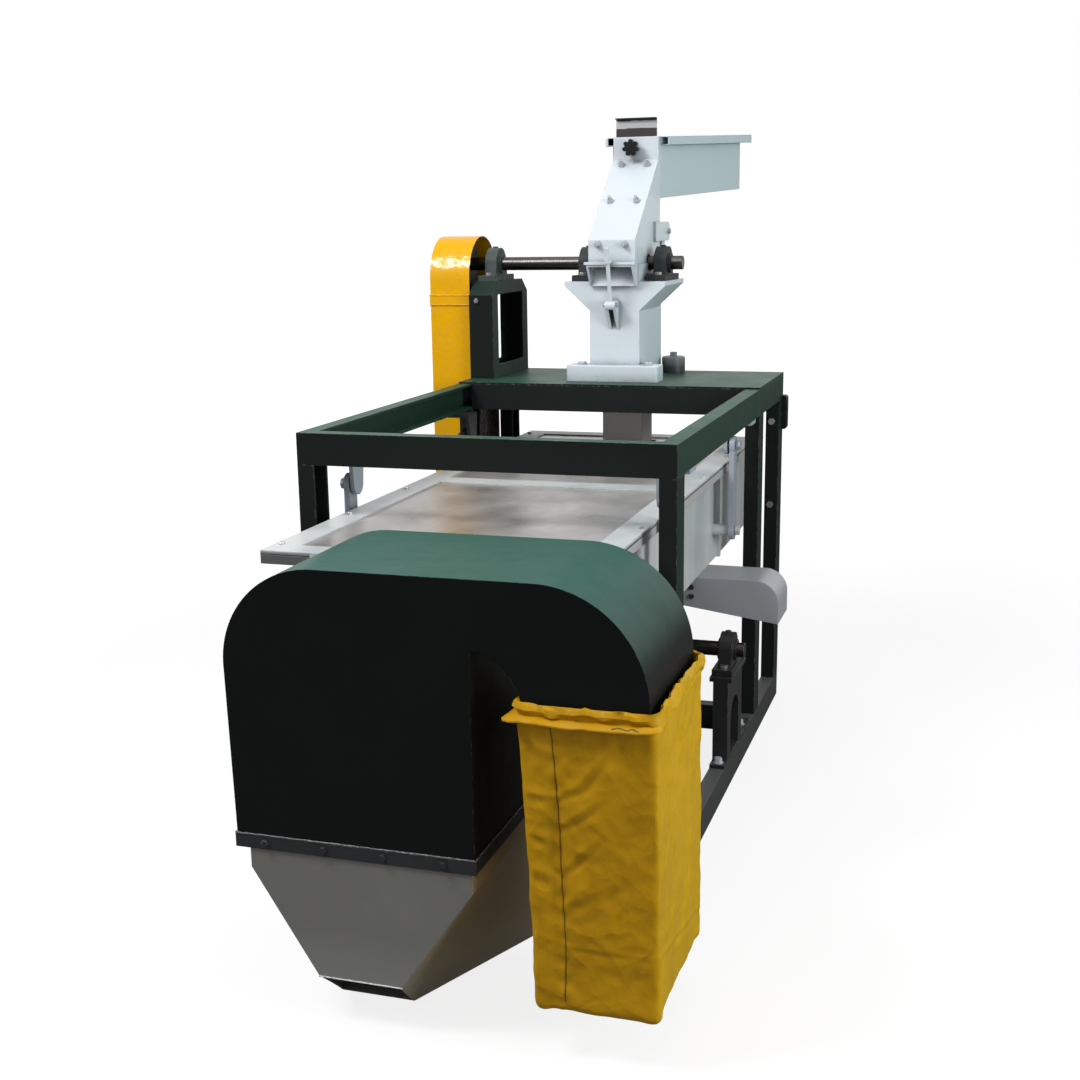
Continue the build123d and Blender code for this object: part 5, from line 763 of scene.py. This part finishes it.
base_z, rim_z = BAG_LEVELS[-1][0], BAG_LEVELS[0][0] - RIM_TUCK
rings = []
for row in range(BAG_ROWS):
    z = rim_z + (base_z + BAG_CORNER - rim_z) * row / (BAG_ROWS - 1)
    rings.append([p.to_3d() + Vector((0, 0, z)) for p in bag_outline(z, BAG_ROUND)])
for row in range(1, BAG_TURN_ROWS + 1):
    angle = math.pi / 2 * row / BAG_TURN_ROWS
    z = base_z + BAG_CORNER * (1 - math.sin(angle))
    inset = BAG_CORNER * (1 - math.cos(angle))
    rings.append([p.to_3d() + Vector((0, 0, z)) for p in bag_outline(z, BAG_ROUND, -inset)])
middle = sum(rings[-1], Vector()) / BAG_ROUND
edge = rings[-1]
for ring in range(1, BAG_FLOOR_RINGS):
    rings.append([p.lerp(middle, ring / BAG_FLOOR_RINGS) for p in edge])
bag = placed("bag_sack", from_rings("bag_sack", rings, closed_end=middle))
bag_start = [v.co.copy() for v in bag.data.vertices]

held = bag.vertex_groups.new(name="held rim")
held.add(list(range(HELD_ROWS * BAG_ROUND)), 1.0, "REPLACE")
sewn = bag.vertex_groups.new(name="sewn seam")
for v in bag.data.vertices:
    away = abs(v.co.x - along(SEAM_LINE, v.co.z))
    if v.co.y < HOOD_FRONT and away < SEAM_PULL:
        sewn.add([v.index], 1.0 - away / SEAM_PULL, "REPLACE")
hang = bag.modifiers.new("hang", "CLOTH")
for key, setting in HANG.items():
    setattr(hang.settings, key, setting)
hang.settings.vertex_group_mass = held.name
hang.settings.vertex_group_shrink = sewn.name
hang.collision_settings.use_collision = False
hang.point_cache.frame_start = 1
hang.point_cache.frame_end = BAG_FRAMES
for tick in range(1, BAG_FRAMES + 1):
    bpy.context.scene.frame_set(tick)
settle(bag)
bpy.context.scene.frame_set(1)
bag.vertex_groups.clear()
for v, start in zip(bag.data.vertices, bag_start):
    shift = v.co - start
    shift.z = max(shift.z, -BAG_DROP)
    if shift.length > BAG_SLACK:
        shift *= BAG_SLACK / shift.length
    v.co = start + shift
finer = bag.modifiers.new("finer", "SUBSURF")
finer.levels = finer.render_levels = 1
settle(bag)

out_of = [v.normal.copy() for v in bag.data.vertices]
for v, n in zip(bag.data.vertices, out_of):
    if v.co.z > rim_z - SMOOTH_RIM:
        continue
    lift = sum(rise * noise.noise(v.co * rate) for rise, rate in RIPPLES)
    front_share = share_of(-n.y * SIDE_GAIN - SIDE_START)
    side_share = share_of(n.x * SIDE_GAIN - SIDE_START)
    if front_share:
        away = along(SEAM_LINE, v.co.z) - v.co.x
        lap = LAP_RISE * share_of(0.5 + away / LAP_EDGE) * math.exp(-max(away, 0.0) / LAP_FADE)
        pucker = PUCKER_RISE * math.sin(v.co.z * PUCKER_RATE) * math.exp(-(away / PUCKER_WIDTH) ** 2)
        lift += front_share * (lap + pucker + crease_height(FRONT_CREASES, v.co.x, v.co.z))
    if side_share:
        lift += side_share * crease_height(SIDE_CREASES, v.co.y, v.co.z)
    v.co += n * lift

bag_cloth, tree, skin, where = new_finish("coated bag cloth")
fade_and_light = cloudy(tree, where["Object"], *FADE_CLOUD)
smudge = ramp(tree, cloudy(tree, where["Object"], *SMUDGE_CLOUD), *SMUDGED, 0.0, MOST_SMUDGE)
# Painted light: the faces turned to the right are tinted brighter and yellower.
sunlit = ramp(tree, facing(tree, where, FROM_RIGHT), *SUNLIT)
shade = blend(tree, fade_and_light, tint(BAG_YELLOW, 0.86), tint(BAG_YELLOW, 1.12))
shade = blend(tree, smudge, shade, tint(BAG_YELLOW, 0.55))
shade = blend(tree, sunlit, shade, BAG_SUN, blend_type="MULTIPLY")
weave = {"Vector": where["Object"], "Scale": WEAVE_SCALE, "Distortion": 0.4}
warp = step(tree, "TexWave", weave, bands_direction="Z")["Fac"]
weft = step(tree, "TexWave", weave, bands_direction="DIAGONAL")["Fac"]
wander = step(tree, "TexNoise", {"Vector": where["Object"], "Scale": 11.0, "Detail": 2.0})["Color"]
bent = step(tree, "MixRGB", {0: 0.06, 1: where["Object"], 2: wander})[0]
relief = {}
for scale, strength, distance in CRUSHED:
    facets = step(tree, "TexVoronoi", {"Vector": bent, "Scale": scale})["Distance"]
    relief = {"Normal": bumpy(tree, strength, distance, facets, **relief)}
fill(tree, skin, {
    "Base Color": shade, "Roughness": ramp(tree, fade_and_light, 0.3, 0.7, 0.40, 0.58), "Specular IOR Level": 0.22,
    "Normal": bumpy(tree, 0.10, 0.0005, reckon(tree, "MULTIPLY", warp, weft), **relief)})
bag.data.materials.append(bag_cloth)
wall = bag.modifiers.new("cloth thickness", "SOLIDIFY")
wall.thickness = BAG_CLOTH
wall.offset = -1.0
settle(bag)
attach(bag, "screen")
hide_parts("bag")


# The bag's rim: the same cloth folded over twice into a soft cuff round the mouth.
# Pulled over the spigot it is crumpled, dips at the front, and its lower fold stands out like a lip.
# The roll and the lip are outlines across the rim: how far out and how high each point of them lies.
CUFF_ROUND = 300
CUFF_KINKS = 60
CUFF_FOLD_ANGLE = math.radians(24.0)
CUFF_SAG = 0.006
CORNER_SAG = 0.4
CUFF_ROLL = (
    (-0.0020, -0.022), (-0.0040, -0.010), (-0.0020, 0.001), (0.0020, 0.003), (0.0060, -0.001),
    (0.0085, -0.008), (0.0065, -0.014), (-0.0005, -0.0180),
)
CUFF_LIP = (
    (0.0030, -0.0205), (0.0110, -0.0235), (0.0165, -0.0280), (0.0170, -0.0305), (0.0110, -0.0280),
    (0.0030, -0.0260), (0.0000, -0.0240),
)
CRUMPLE, CRUMPLE_RATE, CRUMPLE_DROP = 0.0024, 26.0, 1.7 * 60.0
HEAVE, HEAVE_RATE, HEAVE_LAYER = 0.0026, 19.0, 4.8
KINK_OUT, KINK_UP = 0.0034, 0.0026
KINK_UP_ROW = 20
BROAD_BAND = 0.7
LIP_POINT = 0.9
LIP_STIFF = 0.3
LIP_LEAST = 0.3


def kinked(share, row):
    """An uneven line round the rim with sharp kinks, between -1 and 1."""
    at = share * CUFF_KINKS
    first = math.floor(at)
    cells = [Vector((k % CUFF_KINKS + 0.5, row + 0.5, 0.5)) for k in (first, first + 1)]
    a, b = [2.0 * noise.cell(cell) - 1.0 for cell in cells]
    return min(1.0, max(-1.0, a + (b - a) * (at - first)))


mouth_z, mouth_left, mouth_right = BAG_LEVELS[0][:3]
rim_path = bag_outline(mouth_z, CUFF_ROUND)
rings = []
for i, p in enumerate(rim_path):
    run = (rim_path[(i + 1) % CUFF_ROUND] - rim_path[i - 1]).normalized()
    out = Vector((run.y, -run.x))
    inward = math.sin(math.pi * share_of((p.x - mouth_left) / (mouth_right - mouth_left)))
    dip = -CUFF_SAG * max(0.0, -out.y) * (CORNER_SAG + (1.0 - CORNER_SAG) * inward)
    band = 1.0 + BROAD_BAND * max(0.0, out.x)
    lip_share = min(1.0, LIP_LEAST + max(0.0, -out.y, -out.x))
    if out.x < 0.0 and out.y < 0.0:
        lip_share = max(lip_share, 1.0 + LIP_POINT * (2.0 * out.x * out.y) ** 2)
    ring = []
    for k, (reach, drop) in enumerate(CUFF_ROLL + CUFF_LIP):
        spot = Vector((p.x * CRUMPLE_RATE, p.y * CRUMPLE_RATE, drop * CRUMPLE_DROP))
        crumple = CRUMPLE * noise.noise(spot) + KINK_OUT * kinked(i / CUFF_ROUND, k // 2)
        heave = HEAVE * noise.noise(Vector((p.x * HEAVE_RATE, p.y * HEAVE_RATE, HEAVE_LAYER)))
        heave += KINK_UP * kinked(i / CUFF_ROUND, KINK_UP_ROW + k // 4)
        if k >= len(CUFF_ROLL):
            reach *= lip_share
            crumple *= LIP_STIFF
            heave *= LIP_STIFF
        else:
            drop *= band
        ring.append(Vector((p.x, p.y, mouth_z + drop + dip + heave)) + (out * (reach + crumple)).to_3d())
    rings.append(ring)
cuff = placed("bag_cuff", from_rings("bag_cuff", rings, loop=True))
shell = bmesh.new()
shell.from_mesh(cuff.data)
bmesh.ops.recalc_face_normals(shell, faces=shell.faces)
shell.to_mesh(cuff.data)
shell.free()
cuff.data.set_sharp_from_angle(angle=CUFF_FOLD_ANGLE)
cuff.data.materials.append(bag_cloth)
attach(cuff, "screen")


# The bag's stitching: lock stitches down the lapped seam, and a few green ones that close the cuff.
# Each stitch is a short run of thread drawn slightly into the cloth.
SEAM_PITCH, SEAM_STITCH, SEAM_THREAD_R = 0.009, 0.0084, 0.0009
SEAM_TOP, SEAM_END, SEAM_STEP = 640, 120, 6
SEAM_ASIDE = 0.004
CUFF_PITCH, CUFF_STITCH, CUFF_THREAD_R = 0.008, 0.008, 0.0010
CUFF_STITCHES = ((0.508, 0.6545), (0.518, 0.6560), (0.530, 0.6535), (0.540, 0.6560), (0.548, 0.6545))
SEAM_THREAD = (0.105, 0.055, 0.006)
GREEN_THREAD = (0.030, 0.085, 0.045)
THREAD_OUT = 0.0002
CLOTH_FRONT = HOOD_FRONT - 0.012
RAY_FROM = HOOD_FRONT - 0.2


def thread(name, colour):
    """Twisted sewing thread."""
    mat, tree, skin, where = new_finish(name)
    strands = {"Vector": where["Object"], "Scale": 700.0}
    twist = step(tree, "TexWave", strands, bands_direction="DIAGONAL")["Fac"]
    shade = blend(tree, twist, tint(colour, 0.6), tint(colour, 1.3))
    fill(tree, skin, {"Base Color": shade, "Roughness": 0.7})
    return mat


def new_tree(name, sockets, kinds):
    """A geometry tree with named inputs, and a finish: the tree, its inputs and one node of each kind."""
    tree = bpy.data.node_groups.new(name, "GeometryNodeTree")
    for label, kind in (("Geometry", "Geometry"),) + sockets + (("Finish", "Material"),):
        tree.interface.new_socket(label, in_out="INPUT", socket_type="NodeSocket" + kind)
    tree.interface.new_socket("Geometry", in_out="OUTPUT", socket_type="NodeSocketGeometry")
    return tree, tree.nodes.new("NodeGroupInput").outputs, [tree.nodes.new(kind) for kind in kinds]


def join_tree(tree, given, laid, links):
    """The tree's links, then the last steps: what is laid is made real and takes its finish."""
    real = tree.nodes.new("GeometryNodeRealizeInstances")
    finished = tree.nodes.new("GeometryNodeSetMaterial")
    ends = (
        (laid.outputs["Instances"], real.inputs["Geometry"]),
        (real.outputs["Geometry"], finished.inputs["Geometry"]),
        (given["Finish"], finished.inputs["Material"]),
        (finished.outputs["Geometry"], tree.nodes.new("NodeGroupOutput").inputs["Geometry"]),
    )
    for a, b in links + ends:
        tree.links.new(a, b)
    return tree


def stitch_tree():
    """Stitches set along a line: one short thread at each pitch, turned along the line."""
    sockets = (("Pitch", "Float"), ("Stitch", "Float"), ("Thread radius", "Float"))
    tree, given, (line, spread, bar, heading, turn, sewn) = new_tree("stitches", sockets, (
        "GeometryNodeMeshToCurve", "GeometryNodeResampleCurve", "GeometryNodeMeshCylinder",
        "GeometryNodeInputTangent", "FunctionNodeAlignEulerToVector", "GeometryNodeInstanceOnPoints"))
    spread.mode = "LENGTH"
    bar.fill_type = "TRIANGLE_FAN"
    bar.inputs["Vertices"].default_value = 6
    turn.axis = "Z"
    return join_tree(tree, given, sewn, (
        (given["Geometry"], line.inputs["Mesh"]), (line.outputs["Curve"], spread.inputs["Curve"]),
        (given["Pitch"], spread.inputs["Length"]), (given["Stitch"], bar.inputs["Depth"]),
        (given["Thread radius"], bar.inputs["Radius"]), (heading.outputs["Tangent"], turn.inputs["Vector"]),
        (spread.outputs["Curve"], sewn.inputs["Points"]), (bar.outputs["Mesh"], sewn.inputs["Instance"]),
        (turn.outputs["Rotation"], sewn.inputs["Rotation"]),
    ))


def run_tree(piece, tree, values):
    """The piece worked through a node tree, each named input set by its identifier."""
    work = piece.modifiers.new(tree.name, "NODES")
    work.node_group = tree
    for item in tree.interface.items_tree:
        if item.in_out == "INPUT" and item.name in values:
            work[item.identifier] = values[item.name]
    return settle(piece)


def line_mesh(name, points):
    """A bare line through points."""
    mesh = bpy.data.meshes.new(name)
    mesh.from_pydata([tuple(p) for p in points], [(i, i + 1) for i in range(len(points) - 1)], [])
    return mesh


def on_front(piece, x, z):
    """The point of the piece's front side at a place and height."""
    hit, spot = piece.ray_cast(Vector((x, RAY_FROM, z)), Vector((0.0, 1.0, 0.0)))[:2]
    return spot - Vector((0.0, THREAD_OUT, 0.0)) if hit else Vector((x, CLOTH_FRONT, z))


stitches = stitch_tree()
seam_heights = [z / 1000 for z in range(SEAM_TOP, SEAM_END, -SEAM_STEP)]
seam_run = [on_front(bag, along(SEAM_LINE, z) + SEAM_ASIDE, z) for z in seam_heights]
seam_thread = run_tree(placed("bag_seam_stitches", line_mesh("seam", seam_run)), stitches, {
    "Pitch": SEAM_PITCH, "Stitch": SEAM_STITCH, "Thread radius": SEAM_THREAD_R,
    "Finish": thread("seam thread", SEAM_THREAD)})
cuff_run = [on_front(cuff, x, z) for x, z in CUFF_STITCHES]
cuff_thread = run_tree(placed("bag_cuff_stitches", line_mesh("cuff", cuff_run)), stitches, {
    "Pitch": CUFF_PITCH, "Stitch": CUFF_STITCH, "Thread radius": CUFF_THREAD_R,
    "Finish": thread("green thread", GREEN_THREAD)})
for sewing in (seam_thread, cuff_thread):
    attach(sewing, "screen")


# The weld and paint beads: a run of small overlapping beads laid along a joint by hand.
# One runs round the top of the hood's flange, one under the right shelf, two along the guard's lap,
# and one along the front edge of the spout's mouth, where the paint has gathered; that one is near white as a
# painted highlight.
FLANGE_WELD = ((-0.2425, -1.126), (-0.2425, -1.4865), (0.2425, -1.4865), (0.2425, -1.126))
FLANGE_WELD_Z = 0.3695
SHELF_WELD = ((0.0755, 0.425, 1.2395), (0.0755, 0.675, 1.2395))
LAP_LOW = ((-0.583, 0.4325, 1.2545), (-0.454, 0.4325, 1.2545))
LAP_HIGH = ((-0.583, 0.4328, 1.2830), (-0.454, 0.4328, 1.2830))
NOSE_EDGE = ((-0.0826, -1.485, 0.092), (0.0879, -1.485, 0.092))
WELD_R, SHELF_WELD_R, PAINT_BEAD_R, NOSE_R = 0.0030, 0.0020, 0.0017, 0.0018
NOSE_HIGHLIGHT_WHITE = (0.92, 0.93, 0.93)
BEAD_SPACING = 1.3
BEAD_LEAST, BEAD_MOST = (0.85, 0.70, 0.70), (1.25, 1.10, 1.15)


def bead_tree():
    """Beads laid along a line: one round drop at each pitch, of uneven size."""
    sockets = (("Pitch", "Float"), ("Bead radius", "Float"), ("Hand", "Int"))
    tree, given, (line, spread, drop, smooth, uneven, laid) = new_tree("beads", sockets, (
        "GeometryNodeMeshToCurve", "GeometryNodeResampleCurve", "GeometryNodeMeshUVSphere",
        "GeometryNodeSetShadeSmooth", "FunctionNodeRandomValue", "GeometryNodeInstanceOnPoints"))
    spread.mode = "LENGTH"
    drop.inputs["Segments"].default_value = 10
    drop.inputs["Rings"].default_value = 6
    uneven.data_type = "FLOAT_VECTOR"
    uneven.inputs[0].default_value = BEAD_LEAST
    uneven.inputs[1].default_value = BEAD_MOST
    return join_tree(tree, given, laid, (
        (given["Geometry"], line.inputs["Mesh"]), (line.outputs["Curve"], spread.inputs["Curve"]),
        (given["Pitch"], spread.inputs["Length"]), (given["Bead radius"], drop.inputs["Radius"]),
        (given["Hand"], uneven.inputs["Seed"]), (spread.outputs["Curve"], laid.inputs["Points"]),
        (drop.outputs["Mesh"], smooth.inputs["Geometry"]),
        (smooth.outputs["Geometry"], laid.inputs["Instance"]), (uneven.outputs[0], laid.inputs["Scale"]),
    ))


weld_gloss = enamel("weld black gloss", DRIVE_BLACK, roughness=0.16, drift=0.30, peel=0.30, grain=220.0,
                    rub=0.9, dust=0.0, specular=0.8, coat=1.0)
nose_highlight = enamel("rubbed nose edge", NOSE_HIGHLIGHT_WHITE, roughness=0.22, drift=0.15, peel=0.25, grain=200.0,
                    rub=0.4, dust=0.0, coat=0.5)
beads = bead_tree()
flange_run = [(x, y, FLANGE_WELD_Z) for x, y in FLANGE_WELD]
for name, run, radius, hand, finish, body in (
    ("flange_weld", flange_run, WELD_R, 3, weld_gloss, "screen"),
    ("shelf_weld", SHELF_WELD, SHELF_WELD_R, 5, mill_white, "base"),
    ("guard_lap_low", LAP_LOW, PAINT_BEAD_R, 7, guard_yellow, "base"),
    ("guard_lap_high", LAP_HIGH, PAINT_BEAD_R, 9, guard_yellow, "base"),
    ("nose_bead", NOSE_EDGE, NOSE_R, 11, nose_highlight, "screen"),
):
    bead = run_tree(placed(name, line_mesh(name, run)), beads, {
        "Pitch": BEAD_SPACING * radius, "Bead radius": radius, "Hand": hand, "Finish": finish})
    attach(bead, body)


# The foot bolts: low hexagon heads on washers that hold the mill's front foot, painted over with it,
# and grey painted ones that hold the stands of the eccentric shaft to the low rails.
FOOT_BOLTS = ((-0.100, 0.430, 1.082), (0.100, 0.430, 1.082))
FOOT_WASHER = (0.016, 0.0025)
FOOT_HEAD = (0.0128, 0.0055)
STAND_BOLTS = ((0.430, -0.136, 0.085), (0.430, 0.185, 0.085), (-0.430, -0.136, 0.085), (-0.430, 0.185, 0.085))
STAND_WASHER = (0.0140, 0.0025)
STAND_HEAD = (0.0110, 0.0120)


def bolt_tree():
    """A washer and a hexagon head set on each point."""
    sizes = ("Washer radius", "Washer height", "Head radius", "Head height")
    tree, given, (washer, head, stacked, lift, half, offset, joined, points, driven) = new_tree(
        "bolts", tuple((size, "Float") for size in sizes), (
            "GeometryNodeMeshCylinder", "GeometryNodeMeshCylinder", "GeometryNodeTransform", "ShaderNodeMath",
            "ShaderNodeMath", "ShaderNodeCombineXYZ", "GeometryNodeJoinGeometry", "GeometryNodeMeshToPoints",
            "GeometryNodeInstanceOnPoints"))
    washer.inputs["Vertices"].default_value = 32
    head.inputs["Vertices"].default_value = 6
    half.operation = "MULTIPLY"
    half.inputs[1].default_value = 0.5
    return join_tree(tree, given, driven, (
        (given["Geometry"], points.inputs["Mesh"]), (points.outputs["Points"], driven.inputs["Points"]),
        (given["Washer radius"], washer.inputs["Radius"]), (given["Washer height"], washer.inputs["Depth"]),
        (given["Head radius"], head.inputs["Radius"]), (given["Head height"], head.inputs["Depth"]),
        (given["Head height"], lift.inputs[0]), (given["Washer height"], lift.inputs[1]),
        (lift.outputs[0], half.inputs[0]), (half.outputs[0], offset.inputs["Z"]),
        (offset.outputs[0], stacked.inputs["Translation"]),
        (head.outputs["Mesh"], stacked.inputs["Geometry"]),
        (washer.outputs["Mesh"], joined.inputs["Geometry"]),
        (stacked.outputs["Geometry"], joined.inputs["Geometry"]),
        (joined.outputs["Geometry"], driven.inputs["Instance"]),
    ))


bolts = bolt_tree()
for name, seats, washer, head, finish in (
    ("foot_bolts", FOOT_BOLTS, FOOT_WASHER, FOOT_HEAD, mill_white),
    ("stand_bolts", STAND_BOLTS, STAND_WASHER, STAND_HEAD, stud_grey),
):
    points = [Vector(seat) + Vector((0, 0, washer[1] / 2)) for seat in seats]
    driven = run_tree(placed(name, line_mesh(name, points)), bolts, {
        "Washer radius": washer[0], "Washer height": washer[1],
        "Head radius": head[0], "Head height": head[1], "Finish": finish})
    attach(driven, "base")
